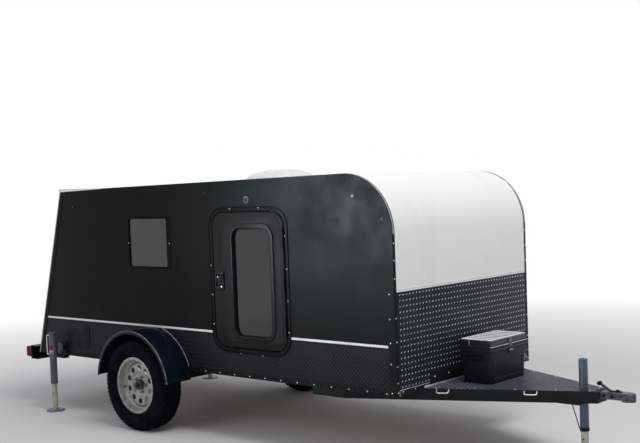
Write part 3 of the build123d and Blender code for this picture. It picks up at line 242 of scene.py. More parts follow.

# tread plates, their bars rubbed brighter than the ground between them; the guard's bright family of bars is
# a painted glint and the deck's forward bars carry painted shade
blackTread = newPaint("blackTread", paints["sheet"], 0.33,
                      ((2.2, 3), 0.3, 0.7, (0.005, 0.0065, 0.0075), (0.011, 0.014, 0.016)),
                      ((25, 4), 0.26, 0.42), specular=0.08)
treadBar = newPaint("treadBar", (0.04, 0.043, 0.047), 0.3,
                    ((90, 3), 0.35, 0.7, (0.011, 0.012, 0.014), (0.030, 0.032, 0.035)), metallic=0.1,
                    specular=0.28)
guardSheetPaint = newPaint("guardSheetPaint", (0.008, 0.012, 0.015), 0.36,
                           ((2.2, 3), 0.3, 0.7, (0.0095, 0.0150, 0.0190), (0.0190, 0.0275, 0.0335)),
                           ((25, 4), 0.28, 0.44), specular=0.08)
# painted highlight: one family of the guard's bars is coloured bright as sun glints
guardGlintBar = newPaint("guardGlintBar", (0.3, 0.32, 0.35), 0.3,
                    ((70, 3), 0.35, 0.65, (0.30, 0.35, 0.40), (0.80, 0.86, 0.92)), metallic=0.5, specular=0.6)
alloyTread = newPaint("alloyTread", paints["alloy"], 0.46,
                      ((9, 8, (1, 3.2, 1), 0.72), 0.38, 0.62, paints["alloy"], (0.007, 0.011, 0.017)),
                      ((60, 5), 0.30, 0.55), specular=0.11)
alloyBar = newPaint("alloyBar", (0.78, 0.79, 0.81), 0.3,
                    ((40, 4), 0.3, 0.7, (0.84, 0.85, 0.87), (0.55, 0.57, 0.60)), metallic=0.6)
# deck bars worn brighter at random, and darkened forward of x 1.6 m by painted shade
deckBar = newPaint("deckBar", (0.16, 0.18, 0.21), 0.36, metallic=0.3, specular=0.2)
wornAndShaded = mathOf(deckBar, "MULTIPLY", ranged(deckBar, objectNoise(deckBar, 40, 4), 0.3, 0.7, 0.5, 1),
                ranged(deckBar, placeOf(deckBar, "X"), 1.60, 1.90, 1.0, 0.18))
feed(deckBar, "Base Color", mixColor(deckBar, wornAndShaded, (0.020, 0.030, 0.048), (0.42, 0.47, 0.55)))

# painted black steel of the frame, dusty on top and chipped
blackSteel = newPaint("blackSteel", paints["steel"], 0.45, None, ((18, 5), 0.36, 0.6),
                      ((160, 4), 0.12, 0.001), specular=0.13)
chips = ranged(blackSteel, objectNoise(blackSteel, 70, 6, rough=0.7), 0.4, 0.65)
dustOn = mathOf(blackSteel, "MULTIPLY", ranged(blackSteel, facingUp(blackSteel), 0.2, 1, 0.04, 0.35), chips)
feed(blackSteel, "Base Color", mixColor(blackSteel, dustOn, paints["steel"], paints["dust"]))

# grained black plastic, dust-grey where it faces the sky on the lid top, with painted highlights on the
# upward ledges at its front, and a paler front to the lid
boxPlastic = newPaint("boxPlastic", (0.008, 0.011, 0.013), 0.5, None, ((48, 7, even, 0.7), 0.42, 0.62),
                      ((500, 3), 0.25, 0.0006), specular=0.22)
boxHeight, boxAhead = placeOf(boxPlastic, "Z"), placeOf(boxPlastic, "X")
# dust on the lid top; the forward ledges get the same pale colour as a painted highlight of sunlit edges
dustAndLitLedges = mathOf(boxPlastic, "MAXIMUM", ranged(boxPlastic, boxHeight, 0.728, 0.738),
                    ranged(boxPlastic, boxAhead, 1.715, 1.722, 0.0, 0.9))
upward = mathOf(boxPlastic, "MULTIPLY", ranged(boxPlastic, facingUp(boxPlastic), 0.45, 0.95), dustAndLitLedges)
grit = ranged(boxPlastic, objectNoise(boxPlastic, 48, 7, even, 0.7), 0.3, 0.60, 0.55, 1)
lidFront = mathOf(boxPlastic, "MULTIPLY", ranged(boxPlastic, boxAhead, 1.712, 1.720),
                  ranged(boxPlastic, boxHeight, 0.700, 0.712))
boxTone = mixColor(boxPlastic, lidFront, (0.008, 0.011, 0.014), (0.050, 0.056, 0.060))
boxDustAndHighlight = mathOf(boxPlastic, "MULTIPLY", upward, grit)
feed(boxPlastic, "Base Color", mixColor(boxPlastic, boxDustAndHighlight, boxTone, (0.80, 0.84, 0.89)))

# paints of frames, trims, fenders and doors
frameTrim = newPaint("frameTrim", (0.0016, 0.0020, 0.0026), 0.3, None, ((40, 4), 0.24, 0.4),
                     ((500, 2), 0.08, 0.0004), specular=0.035)
darkTrim = newPaint("darkTrim", (0.0045, 0.0058, 0.0068), 0.32, None, ((40, 4), 0.26, 0.4),
                    ((600, 2), 0.08, 0.0004), specular=0.10)
fenderPaint = newPaint("fenderPaint", paints["fender"], 0.3,
                       ((12, 6), 0.45, 0.75, paints["fender"], (0.0060, 0.0100, 0.0160)),
                       ((30, 4), 0.24, 0.38), specular=0.09)
wornPaint = newPaint("wornPaint", (0.12, 0.13, 0.14), 0.35,
                     ((30, 5), 0.35, 0.6, (0.040, 0.046, 0.054), (0.15, 0.16, 0.175)), specular=0.3)
rubbedEdge = newPaint("rubbedEdge", (0.40, 0.41, 0.42), 0.4,
                      ((30, 4), 0.3, 0.7, (0.24, 0.25, 0.26), (0.50, 0.51, 0.52)), specular=0.3)
edgeGrey = newPaint("edgeGrey", (0.34, 0.35, 0.35), 0.4,
                    ((30, 5), 0.35, 0.65, (0.28, 0.295, 0.29), (0.42, 0.43, 0.43)), metallic=0.3)
doorSheet = newPaint("doorSheet", paints["sheet"], 0.4,
                     ((1.7, 4, (1.4, 1, 0.5)), 0.35, 0.65, (0.0075, 0.0085, 0.008), (0.013, 0.0135, 0.013)),
                     ((7, 5), 0.34, 0.46), specular=0.07)

# jack paint in grey and blue-grey, coupler, rusty nuts and galvanised legs
bluePaint = newPaint("bluePaint", paints["blue"], 0.4,
                     ((30, 7, (1, 1, 0.4), 0.7), 0.42, 0.70, paints["blue"], (0.090, 0.120, 0.160)),
                     ((22, 5), 0.34, 0.52), specular=0.45)
greyPaint = newPaint("greyPaint", paints["grey"], 0.45,
                     ((30, 7, (1, 1, 0.4), 0.7), 0.4, 0.68, paints["grey"], (0.12, 0.12, 0.14)),
                     ((22, 5), 0.38, 0.58), specular=0.45)
couplerPaint = newPaint("couplerPaint", (0.030, 0.036, 0.044), 0.42,
                        ((45, 6), 0.40, 0.66, (0.024, 0.029, 0.037), (0.085, 0.095, 0.110)), specular=0.4)
rustSteel = newPaint("rustSteel", (0.10, 0.09, 0.08), 0.6,
                     ((180, 5), 0.35, 0.65, (0.17, 0.16, 0.145), (0.075, 0.062, 0.050)), specular=0.3)
zincLeg = newPaint("zincLeg", paints["galvanised"], 0.5, None, ((80, 4), 0.4, 0.62), metallic=0.35)
legNoise = ranged(zincLeg, objectNoise(zincLeg, 45, 6, (1, 1, 0.3), 0.65), 0.35, 0.68)
legTone = mixColor(zincLeg, legNoise, paints["galvanised"], (0.30, 0.28, 0.22))
aboveFoot = ranged(zincLeg, placeOf(zincLeg, "Z"), 0.010, 0.022)
feed(zincLeg, "Base Color", mixColor(zincLeg, aboveFoot, (0.12, 0.135, 0.15), legTone))
brightRod = newPaint("brightRod", (0.62, 0.63, 0.65), 0.28, None, ((120, 4), 0.22, 0.4), metallic=1.0)
screwMetal = newPaint("screwMetal", (0.72, 0.72, 0.73), 0.25, None, ((300, 2), 0.2, 0.36), metallic=1.0)

# cream steel wheel with brake dust and mud in the corners, tyre, greasy hub, and painted shade in the groove
# round the disc
dirt = (26, 8, even, 0.7)
wheelPaint = newPaint("wheelPaint", paints["cream"], 0.4,
                      (dirt, 0.44, 0.72, paints["cream"], (0.12, 0.105, 0.085), 0.85), (dirt, 0.3, 0.6),
                      metallic=0.25)
tyreRubber = newPaint("tyreRubber", paints["rubber"], 0.68,
                      ((16, 8, even, 0.7), 0.42, 0.75, paints["rubber"], (0.010, 0.013, 0.0145), 0.8),
                      ((60, 4), 0.56, 0.8), ((350, 3), 0.2, 0.0006), specular=0.02)
hubGreaseAndShade = newPaint("hubGreaseAndShade", (0.020, 0.019, 0.018), 0.42,
                     ((40, 5), 0.4, 0.65, (0.014, 0.013, 0.012), (0.075, 0.072, 0.068)), None,
                     ((90, 4), 0.5, 0.002), specular=0.4)

# glass, lenses, stickers, vent plastic and plywood
darkGlass = newPaint("darkGlass", (0.20, 0.22, 0.20), 0.03, specular=0.6, transmission=1.0)
feed(darkGlass, "Roughness", ranged(darkGlass, objectNoise(darkGlass, 9, 5), 0.4, 0.75, 0.02, 0.09))
smokeLens = newPaint("smokeLens", (0.030, 0.026, 0.024), 0.34, None, None, ((240, 1), 0.3, 0.0008),
                     specular=0.2, coat=0.05)
redLens = newPaint("redLens", (0.14, 0.0010, 0.0040), 0.28, None, None, ((220, 1), 0.3, 0.0008),
                   specular=0.10)
clearLens = newPaint("clearLens", (0.52, 0.44, 0.42), 0.3, None, None, ((180, 1), 0.3, 0.0008), specular=0.4)
porchRing = newPaint("porchRing", (0.10, 0.11, 0.12), 0.35, None, ((90, 4), 0.25, 0.45), metallic=0.3)
stickerWhite = newPaint("stickerWhite", (0.42, 0.42, 0.42), 0.5,
                        ((60, 5), 0.4, 0.7, (0.46, 0.46, 0.47), (0.22, 0.22, 0.23)))
stickerRed = newPaint("stickerRed", (0.13, 0.012, 0.025), 0.5,
                      ((60, 5), 0.4, 0.7, (0.14, 0.010, 0.024), (0.06, 0.018, 0.026)))
ventPlastic = newPaint("ventPlastic", (0.92, 0.92, 0.90), 0.42,
                       ((11, 6), 0.45, 0.75, (0.82, 0.82, 0.79), (0.62, 0.61, 0.56), 0.5), specular=0.4)
grain = (7, 6, (0.6, 9, 9), 0.7)
plywood = newPaint("plywood", (0.45, 0.32, 0.19), 0.5,
                   (grain, 0.3, 0.7, (0.50, 0.37, 0.22), (0.33, 0.22, 0.12)), (grain, 0.4, 0.6))
print("materials made")


# ---- outlines
def rect(left, low, right, high):
    return [(left, low), (right, low), (right, high), (left, high)]


def around(x, y, radius, turn):
    return (x + radius * math.cos(turn), y + radius * math.sin(turn))


def roundedBox(x, y, width, height, radius, steps=6):
    points = []
    for cornerX, cornerY, start in ((1, 1, 0), (-1, 1, 90), (-1, -1, 180), (1, -1, 270)):
        middle = (x + cornerX * (width / 2 - radius), y + cornerY * (height / 2 - radius))
        points += [around(*middle, radius, math.radians(start + 90 * step / steps))
                   for step in range(steps + 1)]
    return points


def circleOf(x, y, radius, steps=24):
    return [around(x, y, radius, 2 * math.pi * k / steps) for k in range(steps)]


def boxLoop(item, width, height, radius, steps=6, ahead=0.0):
    # a rounded outline round the middle of a piece's dictionary
    return roundedBox(item["x"] + ahead, item["z"], width, height, radius, steps)


def sideOutline(lowZ, margin=0.0, arcSteps=28):
    # outline of a side on its own plane: x forward, y up
    top = shell["roofRearZ"] - margin
    arc = [around(*arcCentre, shell["frontRadius"] - margin, math.pi / 2 * step / arcSteps)
           for step in range(arcSteps + 1)]
    return [(frontX - margin, lowZ), *arc, (rearX(top, margin), top), (rearX(lowZ, margin), lowZ)]


def ringOf(points, inset):
    made = []
    count = len(points)
    for number in range(count):
        before, here, after = (Vector(points[(number + step) % count]) for step in (-1, 0, 1))
        first, second = (here - before).normalized(), (after - here).normalized()
        firstLeft, secondLeft = Vector((-first.y, first.x)), Vector((-second.y, second.x))
        made.append(here + (firstLeft + secondLeft) * inset / max(1 + firstLeft.dot(secondLeft), 0.35))
    return made


def directed(points, way):
    points = list(points)
    area = sum(a[0] * b[1] - b[0] * a[1] for a, b in zip(points, points[1:] + points[:1]))
    return points if area * way > 0 else points[::-1]


# ---- shapes that several pieces use
def skinOver(bm, rows, smooth=True):
    # faces between neighbouring rings of vertices; a ring may be a single point
    for first, second in zip(rows, rows[1:]):
        for k in range(max(len(first), len(second))):
            corners = (first[k % len(first)], second[k % len(second)],
                       second[(k + 1) % len(second)], first[(k + 1) % len(first)])
            different = tuple(dict.fromkeys(corners))
            if len(different) > 2:
                bm.faces.new(different).smooth = smooth


def fillIn(bm, loops, facing=1, index=0):
    # flat faces inside the first ring of vertices and outside the others
    flat = [vert for loop in loops for vert in loop]
    for corners in tessellate_polygon([[vert.co for vert in loop] for loop in loops]):
        a, b, c = (flat[corner] for corner in corners)
        if (b.co - a.co).cross(c.co - a.co).z * facing < 0:
            b, c = c, b
        try:
            bm.faces.new((a, b, c)).material_index = index
        except ValueError:
            continue


def plate(outer, holes=(), thickness=0.002, bevel=0.0008, steps=2, smoothRims=True, backIndex=0):
    # a flat panel: outline in x and y, front face at z 0, rounded rims, back at -thickness
    loops = [directed(outer, 1)] + [directed(hole, -1) for hole in holes]
    bevel = min(bevel, thickness * 0.45)
    section = []
    for step in range(steps + 1):
        turn = math.pi / 2 * step / steps
        section.append((bevel * (1 - math.sin(turn)), -bevel * (1 - math.cos(turn))))
    section += [(inset, -thickness - depth) for inset, depth in reversed(section)]
    bm = bmesh.new()
    fronts, backs = [], []
    for loop in loops:
        rows = [[bm.verts.new((p.x, p.y, depth)) for p in ringOf(loop, inset)] for inset, depth in section]
        skinOver(bm, rows, smoothRims)
        fronts.append(rows[0])
        backs.append(rows[-1])
    fillIn(bm, fronts)
    fillIn(bm, backs, -1, backIndex)
    return bm


def flatRegion(outer, holes=()):
    bm = bmesh.new()
    fillIn(bm, [[bm.verts.new((*point, 0)) for point in loop] for loop in (outer, *holes)])
    return bm


def sweep(rows, capLow=True, capHigh=True, closed=False):
    # a skin over rings of points, its ends capped or joined
    bm = bmesh.new()
    rings = [[bm.verts.new(point) for point in row] for row in rows]
    skinOver(bm, rings + rings[:1] if closed else rings)
    if capLow:
        bm.faces.new(rings[0])
    if capHigh:
        bm.faces.new(rings[-1])
    bmesh.ops.recalc_face_normals(bm, faces=bm.faces)
    return bm


def lathe(profile, steps=64, closed=False):
    # profile of (distance out, radius) turned about z
    rows = [[(*point, out) for point in (circleOf(0, 0, radius, steps) if radius else [(0, 0)])]
            for out, radius in profile]
    return sweep(rows, False, False, closed)


def tiers(rows, capLow=True):
    # rounded rectangles (height, width, depth, corner radius) joined one above the other
    return sweep([[(*point, height) for point in roundedBox(0, 0, width, depth, radius)]
                  for height, width, depth, radius in rows], capLow)


def arcSweep(profile, startTurn, endTurn, steps, x, z):
    # closed profile of (out, radius) carried round a cross axis at x and z on the right side
    rows = []
    for step in range(steps + 1):
        turn = math.radians(startTurn + (endTurn - startTurn) * step / steps)
        rows.append([(x + radius * math.cos(turn), -out, z + radius * math.sin(turn))
                     for out, radius in profile])
    return sweep(rows)


def bentStrip(path, inner, outer, thickness, lift=0.0):
    # strip that lies on the front, the arc and the roof between two distances from the middle
    points = [Vector(point) for point in path]
    chamfer = min(0.0008, thickness * 0.4)
    rows = []
    for number, here in enumerate(points):
        before, after = points[max(number - 1, 0)], points[min(number + 1, len(points) - 1)]
        along = (after - before).normalized()
        outward = Vector((along.y, -along.x))
        low, high = here + outward * lift, here + outward * (lift + thickness)
        shoulder = high - outward * chamfer
        section = ((low, inner), (shoulder, inner), (high, inner + chamfer), (high, outer - chamfer),
                   (shoulder, outer), (low, outer))
        rows.append([(spot.x, -side, spot.y) for spot, side in section])
    return sweep(rows)


def rod(points, radius, sides=4, bend=0.0):
    # round bar along points, with its corners bent to a radius
    path = []
    for number, here in enumerate(points):
        if bend == 0 or number in (0, len(points) - 1):
            path.append(Vector(here))
            continue
        before, here, after = Vector(points[number - 1]), Vector(here), Vector(points[number + 1])
        start, end = here + (before - here).normalized() * bend, here + (after - here).normalized() * bend
        for step in range(7):
            share = step / 6
            path.append(start * (1 - share) ** 2 + here * 2 * share * (1 - share) + end * share ** 2)
    curve = bpy.data.curves.new("rod", "CURVE")
    curve.dimensions = "3D"
    curve.bevel_depth = radius
    curve.bevel_resolution = sides
    curve.use_fill_caps = True
    spline = curve.splines.new("POLY")
    spline.points.add(len(path) - 1)
    for point, place in zip(spline.points, path):
        point.co = (*place, 1)
    bm = evaluated(bpy.data.objects.new("rod", curve))
    bpy.data.curves.remove(curve)
    for face in bm.faces:
        face.smooth = True
    return bm


def evaluated(holder, tree=None, settings=None):
    # what an object becomes, with a tree on it or without, as a plain mesh
    scene.collection.objects.link(holder)
    if tree:
        modifier = holder.modifiers.new("grow", "NODES")
        modifier.node_group = tree
        for label, value in settings.items():
            modifier[socketOf(tree, label)] = value
        holder.update_tag()
        bpy.context.view_layer.update()
    result = bpy.data.meshes.new_from_object(holder.evaluated_get(bpy.context.evaluated_depsgraph_get()))
    bm = bmesh.new()
    bm.from_mesh(result)
    bpy.data.objects.remove(holder)
    bpy.data.meshes.remove(result)
    return bm


def onPlane(bm, origin, xDir, yDir):
    xDir, yDir = Vector(xDir).normalized(), Vector(yDir).normalized()
    turned = Matrix((xDir, yDir, xDir.cross(yDir))).transposed().to_4x4()
    bm.transform(Matrix.Translation(origin) @ turned)
    return bm


def outOfSide(bm, x, out, z):
    # the shape's z axis points out of the right side
    return onPlane(bm, (x, -out, z), (1, 0, 0), (0, 0, 1))


def onSide(bm, out):
    return outOfSide(bm, 0, out, 0)


def onFront(bm, x):
    return onPlane(bm, (x, 0, 0), (0, 1, 0), (0, 0, 1))


def onTop(bm, z):
    return onPlane(bm, (0, 0, z), (1, 0, 0), (0, 1, 0))


def moved(bm, x=0, y=0, z=0):
    bm.transform(Matrix.Translation((x, y, z)))
    return bm


def slotted(bm, index):
    for face in bm.faces:
        face.material_index = index
    return bm


def mirrored(bm):
    copy = bm.copy()
    copy.transform(Matrix.Scale(-1, 4, (0, 1, 0)))
    bmesh.ops.reverse_faces(copy, faces=copy.faces)
    return copy


def joined(*parts):
    whole = bmesh.new()
    for part in parts:
        holder = bpy.data.meshes.new("holder")
        part.to_mesh(holder)
        part.free()
        whole.from_mesh(holder)
        bpy.data.meshes.remove(holder)
    return whole


def bothSides(bm):
    return joined(bm, mirrored(bm))


def bar(width, depth, height, bevel=0.0015, steps=2):
    # bevelled block standing on z 0, centred in x and y
    return moved(plate(rect(-width / 2, -depth / 2, width / 2, depth / 2), (), height, bevel, steps),
                 z=height)


def boltHead(radius, height, chamfer, inset):
    return lathe([(0, 0), (0, radius), (height - chamfer, radius), (height, radius - inset), (height, 0)], 6)


def finish(name, bm, materials, body, slot, *replaced, sharp=38):
    mesh = bpy.data.meshes.new(name)
    bm.to_mesh(mesh)
    bm.free()
    mesh.set_sharp_from_angle(angle=math.radians(sharp))
    up = mesh.attributes.new("looksUp", "FLOAT", "FACE")
    up.data.foreach_set("value", [max(face.normal.z, 0.0) for face in mesh.polygons])
    piece = bpy.data.objects.new(name, mesh)
    for made in materials:
        mesh.materials.append(made)
    scene.collection.objects.link(piece)
    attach(piece, body)
    if replaced:
        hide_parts(*replaced)


def finishPair(name, bm, materials, body, slot, replaced, sharp=38):
    for hand, half in (("right", bm), ("left", mirrored(bm))):
        finish(name + hand.title(), half, materials, body.format(hand), slot, replaced.format(hand),
               sharp=sharp)


# ---- Geometry Nodes: bars of tread plate, and screw heads
def socketOf(tree, label):
    for item in tree.interface.items_tree:
        if item.item_type == "SOCKET" and item.in_out == "INPUT" and item.name == label:
            return item.identifier


def newTree(name, inputs):
    tree = bpy.data.node_groups.new(name, "GeometryNodeTree")
    tree.interface.new_socket("Geometry", in_out="INPUT", socket_type="NodeSocketGeometry")
    for label, value in inputs.items():
        made = tree.interface.new_socket(label, in_out="INPUT", socket_type="NodeSocketFloat")
        made.default_value = value
    tree.interface.new_socket("Material", in_out="INPUT", socket_type="NodeSocketMaterial")
    tree.interface.new_socket("Geometry", in_out="OUTPUT", socket_type="NodeSocketGeometry")
    return tree, tree.nodes.new("NodeGroupInput").outputs


def setOn(tree, given, points, instance, turn=None, smooth=False):
    # the tree's end: the shape on each point, made real and painted
    placed = put(tree, "GeometryNodeInstanceOnPoints",
                 {"Points": points, "Instance": instance, "Rotation": turn})
    whole = put(tree, "GeometryNodeRealizeInstances", {"Geometry": placed["Instances"]})
    if smooth:
        whole = put(tree, "GeometryNodeSetShadeSmooth", {"Geometry": whole["Geometry"]})
    painted = put(tree, "GeometryNodeSetMaterial",
                  {"Geometry": whole["Geometry"], "Material": given["Material"]})
    put(tree, "NodeGroupOutput", {"Geometry": painted["Geometry"]})
    return tree


def treadTree():
    # one of the two families of bars; the other is the same tree with the turn reversed and the shift on
    tree, given = newTree("treadBars", {"Pitch X": 0.030, "Pitch Y": 0.034, "Bar Length": 0.021,
                                        "Bar Width": 0.0052, "Bar Height": 0.0012, "Turn": 45.0, "Shift": 0.0,
                                        "Span X": 4.0, "Span Y": 2.0})

    def count(kind, first, second=None):
        return put(tree, "ShaderNodeMath", {0: first, 1: second}, kind)[0]

    cone = put(tree, "GeometryNodeMeshCone",
               {"Vertices": 6, "Radius Top": 0.30, "Radius Bottom": 0.5, "Depth": 1.0})
    size = put(tree, "ShaderNodeCombineXYZ",
               {"X": given["Bar Length"], "Y": given["Bar Width"], "Z": given["Bar Height"]})
    shape = put(tree, "GeometryNodeTransform", {"Geometry": cone["Mesh"], "Scale": size[0]})
    gridSize, offset = {}, {}
    for axis in "XY":
        pitch = given["Pitch " + axis]
        whole = count("CEIL", count("DIVIDE", given["Span " + axis], pitch))
        gridSize["Size " + axis] = count("MULTIPLY", whole, pitch)
        gridSize["Vertices " + axis] = count("ADD", whole, 1)
        offset[axis] = count("MULTIPLY", given["Shift"], pitch)
    grid = put(tree, "GeometryNodeMeshGrid", gridSize)
    shift = put(tree, "ShaderNodeCombineXYZ", offset)
    shifted = put(tree, "GeometryNodeTransform", {"Geometry": grid["Mesh"], "Translation": shift[0]})
    here = put(tree, "GeometryNodeInputPosition", {})[0]
    above = put(tree, "ShaderNodeVectorMath", {0: here, 1: (0, 0, 0.01)})[0]
    cast = put(tree, "GeometryNodeRaycast", {"Target Geometry": given["Geometry"], "Source Position": above,
                                             "Ray Direction": (0, 0, -1)})
    missed = put(tree, "FunctionNodeBooleanMath", {0: cast["Is Hit"]}, "NOT")[0]
    cut = put(tree, "GeometryNodeDeleteGeometry", {"Geometry": shifted["Geometry"], "Selection": missed})
    turn = put(tree, "ShaderNodeCombineXYZ", {"Z": count("MULTIPLY", given["Turn"], math.pi / 180)})
    return setOn(tree, given, cut["Geometry"], shape["Geometry"], turn[0])


def screwTree():
    tree, given = newTree("screwHeads", {"Head Radius": 0.0045, "Head Height": 0.0022})
    head = put(tree, "GeometryNodeMeshUVSphere", {"Segments": 10, "Rings": 6, "Radius": 1.0})
    size = put(tree, "ShaderNodeCombineXYZ", {"X": given["Head Radius"], "Y": given["Head Radius"],
                                              "Z": given["Head Height"]})
    shape = put(tree, "GeometryNodeTransform", {"Geometry": head["Mesh"], "Scale": size[0]})
    return setOn(tree, given, given["Geometry"], shape["Geometry"], smooth=True)


treadBars, screwHeads = treadTree(), screwTree()


def grown(tree, bm, settings, material):
    # runs a tree on a flat mesh and gives the result as a plain mesh
    mesh = bpy.data.meshes.new("seedMesh")
    bm.to_mesh(mesh)
    bm.free()
    made = evaluated(bpy.data.objects.new("seedObject", mesh), tree, {**settings, "Material": material})
    bpy.data.meshes.remove(mesh)
    return made


def treadOn(flat, settings, slots):
    # both families of bars on a flat region
    families = []
    for turn, shift, index in ((settings["Turn"], 0.0, slots[0]), (-settings["Turn"], 0.5, slots[1])):
        bars = grown(treadBars, flat.copy(), {**settings, "Turn": turn, "Shift": shift}, treadBar)
        families.append(slotted(bars, index))
    flat.free()
    return joined(*families)


def screwsAt(points, radius=0.0045, height=0.0022):
    bm = bmesh.new()
    for point in points:
        bm.verts.new((*point, 0))
    return grown(screwHeads, bm, {"Head Radius": radius, "Head Height": height}, screwMetal)


# ---- side walls: core and the smooth skin above the strip
fit = 0.0003
door = {"x": 0.165, "z": 1.118, "width": 0.757, "height": 1.005, "radius": 0.140,
        "opening": (0.713, 0.961, 0.118), "pane": {"x": 0.1985, "z": 1.104}, "paneWidth": 0.357,
        "paneHeight": 0.737, "paneRadius": 0.070, "jamb": -0.034, "beadFace": 0.769, "stepFace": 0.7674}
window = {"x": -0.8745, "z": 1.370, "width": 0.493, "height": 0.380, "radius": 0.026,
          "opening": (0.462, 0.364, 0.018)}
doorEdge = boxLoop(door, door["width"] + 2 * fit, door["height"] + 2 * fit, door["radius"], 12)
doorLeft, doorRight = (door["x"] + side * (door["width"] / 2 + fit) for side in (-1, 1))
half = len(doorEdge) // 2
upperEdge, lowerEdge = doorEdge[:half][::-1], doorEdge[half:][::-1]
sideCore = plate(sideOutline(skirtZ),
                 [boxLoop(door, *door["opening"], 10), boxLoop(window, *window["opening"])], shell["wall"],
                 0.0005, 1, backIndex=1)
sideSkin = plate(sideOutline(stripZ) + [(doorLeft, stripZ), *upperEdge, (doorRight, stripZ)],
                 [boxLoop(window, window["width"] + 2 * fit, window["height"] + 2 * fit, window["radius"])],
                 shell["skin"], 0.0006, 1)
finishPair("sideWall", joined(onSide(sideCore, coreFace), onSide(sideSkin, skinFace)), [blackSheet, plywood],
           "trailer", "black_panel", "side_wall_{}")
print("side walls")

# ---- lower plates of small tread, white strips and the dark angles along the edges
lower = {"low": 0.482, "topGap": 0.016, "endGap": 0.055, "doorGap": 0.012, "gridAhead": 0.2, "gridZ": 0.6}
lowerTread = {"Pitch X": 0.030, "Pitch Y": 0.030, "Bar Length": 0.019, "Bar Width": 0.0042,
              "Bar Height": 0.0009, "Turn": 45.0, "Span X": 4.2, "Span Y": 0.4}
lowerOutline = [(frontX, skirtZ), (frontX, stripZ), (doorRight, stripZ), *lowerEdge, (doorLeft, stripZ),
                (rearX(stripZ), stripZ), (rearX(skirtZ), skirtZ)]
lowerSheet = plate(lowerOutline, (), shell["skin"], 0.0006, 1)
treadTop = stripZ - lower["topGap"]
underDoor = [(x + math.copysign(lower["doorGap"], x - door["x"]), z - lower["doorGap"])
             for x, z in lowerEdge if z < 0.745]
treadArea = [(frontX - lower["endGap"], lower["low"]), (frontX - lower["endGap"], treadTop),
             (doorRight + 0.01, treadTop), *underDoor, (doorLeft - 0.01, treadTop),
             (rearX(stripZ) + lower["endGap"], treadTop), (rearX(lower["low"]) + 0.05, lower["low"])]
treadFlat = flatRegion([(x - axleX - lower["gridAhead"], z - lower["gridZ"]) for x, z in treadArea])
lowerBars = moved(treadOn(treadFlat, lowerTread, (1, 1)), axleX + lower["gridAhead"], lower["gridZ"])
lowerBars = onSide(lowerBars, skinFace)
finish("lowerPlates", bothSides(joined(onSide(lowerSheet, skinFace), lowerBars)), [blackTread, treadBar],
       "trailer", "black_tread_plate", "lower_side_plates")

strip = {"half": 0.0075, "thickness": 0.003, "spans": ((0.059, 0.859), (1.616, 3.620))}
stripParts = [onSide(plate(rect(frontX - aft, stripZ - strip["half"], frontX - start, stripZ + strip["half"]),
                           (), strip["thickness"], 0.0012), trimFace) for start, aft in strip["spans"]]
finish("sideStrips", bothSides(joined(*stripParts)), [whiteSheet], "trailer", "white_trim", "side_strips")

edge = {"sideWidth": 0.050, "bottomWidth": 0.028, "frontWidth": 0.025, "thickness": 0.003,
        "screwInset": 0.038, "lowScrewZ": 0.462, "arcScrewRadius": 0.343, "roofScrewDrop": 0.022,
        "backScrewIn": 0.028, "backScrews": [1.62 - 0.18 * k for k in range(7)],
        "frontScrews": (1.07, 0.919, 0.774, 0.646, 0.468),
        "lowScrews": (0.079, *(0.231 + 0.1475 * k for k in range(11))), "arcScrews": (-18, 4, 28, 52, 76),
        "roofScrews": (*(0.50 + 0.28 * k for k in range(10)), 3.27),
        "flangeScrews": (1.378, 1.274, 1.164, 0.925, 0.781, 0.632, 0.531, 0.473)}
fender = {"radius": 0.406, "sheet": 0.003, "endZ": 0.385, "flangeRadius": 0.420, "flangeLow": 0.484,
          "screws": (24, 44, 64), "screwRadius": 0.4132, "lip": 0.026, "wornWidth": 0.0075}
bottomIn = skirtZ + edge["bottomWidth"]
cutHalf = [math.sqrt((fender["flangeRadius"] + fit) ** 2 - (z - axleZ) ** 2) for z in (skirtZ, bottomIn)]
outerEdge = sideOutline(skirtZ)
innerEdge = sideOutline(bottomIn, edge["sideWidth"])
bandLoop = [(axleX + cutHalf[0], skirtZ), *outerEdge, (axleX - cutHalf[0], skirtZ),
            (axleX - cutHalf[1], bottomIn), *innerEdge[::-1], (axleX + cutHalf[1], bottomIn)]
band = onSide(plate(bandLoop, (), edge["thickness"], 0.0003, 1, smoothRims=False), trimFace)
overPath, backPath = outerEdge[:-1], outerEdge[-2:]
flangeIn = trimFace - edge["frontWidth"]
frontFlange = bentStrip(overPath, flangeIn, trimFace, 0.002)
rearFlange = bentStrip(backPath, flangeIn, trimFace, 0.002)
brightLine = bentStrip(overPath, flangeIn - 0.003, flangeIn, 0.0025)
arcPath = [point for point in outerEdge if point[1] > 1.40]
arcLine = bentStrip(arcPath, trimFace - 0.016, trimFace - 0.006, 0.0012, 0.002)
backTop, backLow = (Vector(point) for point in backPath)
backWay = (backLow - backTop).normalized()
backInset = Vector((-backWay.y, backWay.x)) * 0.009
brightLoop = [backTop, backTop + backInset, backLow + backInset, backLow]
rearBright = onSide(plate(brightLoop, (), 0.001, 0.0003, 1), trimFace + 0.0006)
sideScrews = [(frontX - edge["screwInset"], z) for z in edge["frontScrews"]]
sideScrews += [(frontX - aft, edge["lowScrewZ"]) for aft in edge["lowScrews"]]
paintedScrews = [around(*arcCentre, edge["arcScrewRadius"], math.radians(turn)) for turn in edge["arcScrews"]]
paintedScrews += [(frontX - aft, roofZ(aft) - edge["roofScrewDrop"]) for aft in edge["roofScrews"]]
paintedScrews += [(rearX(z) + edge["backScrewIn"], z) for z in edge["backScrews"]]
flangeHeads = onFront(screwsAt([(0.011 - trimFace, z) for z in edge["flangeScrews"]]), frontX + 0.002)
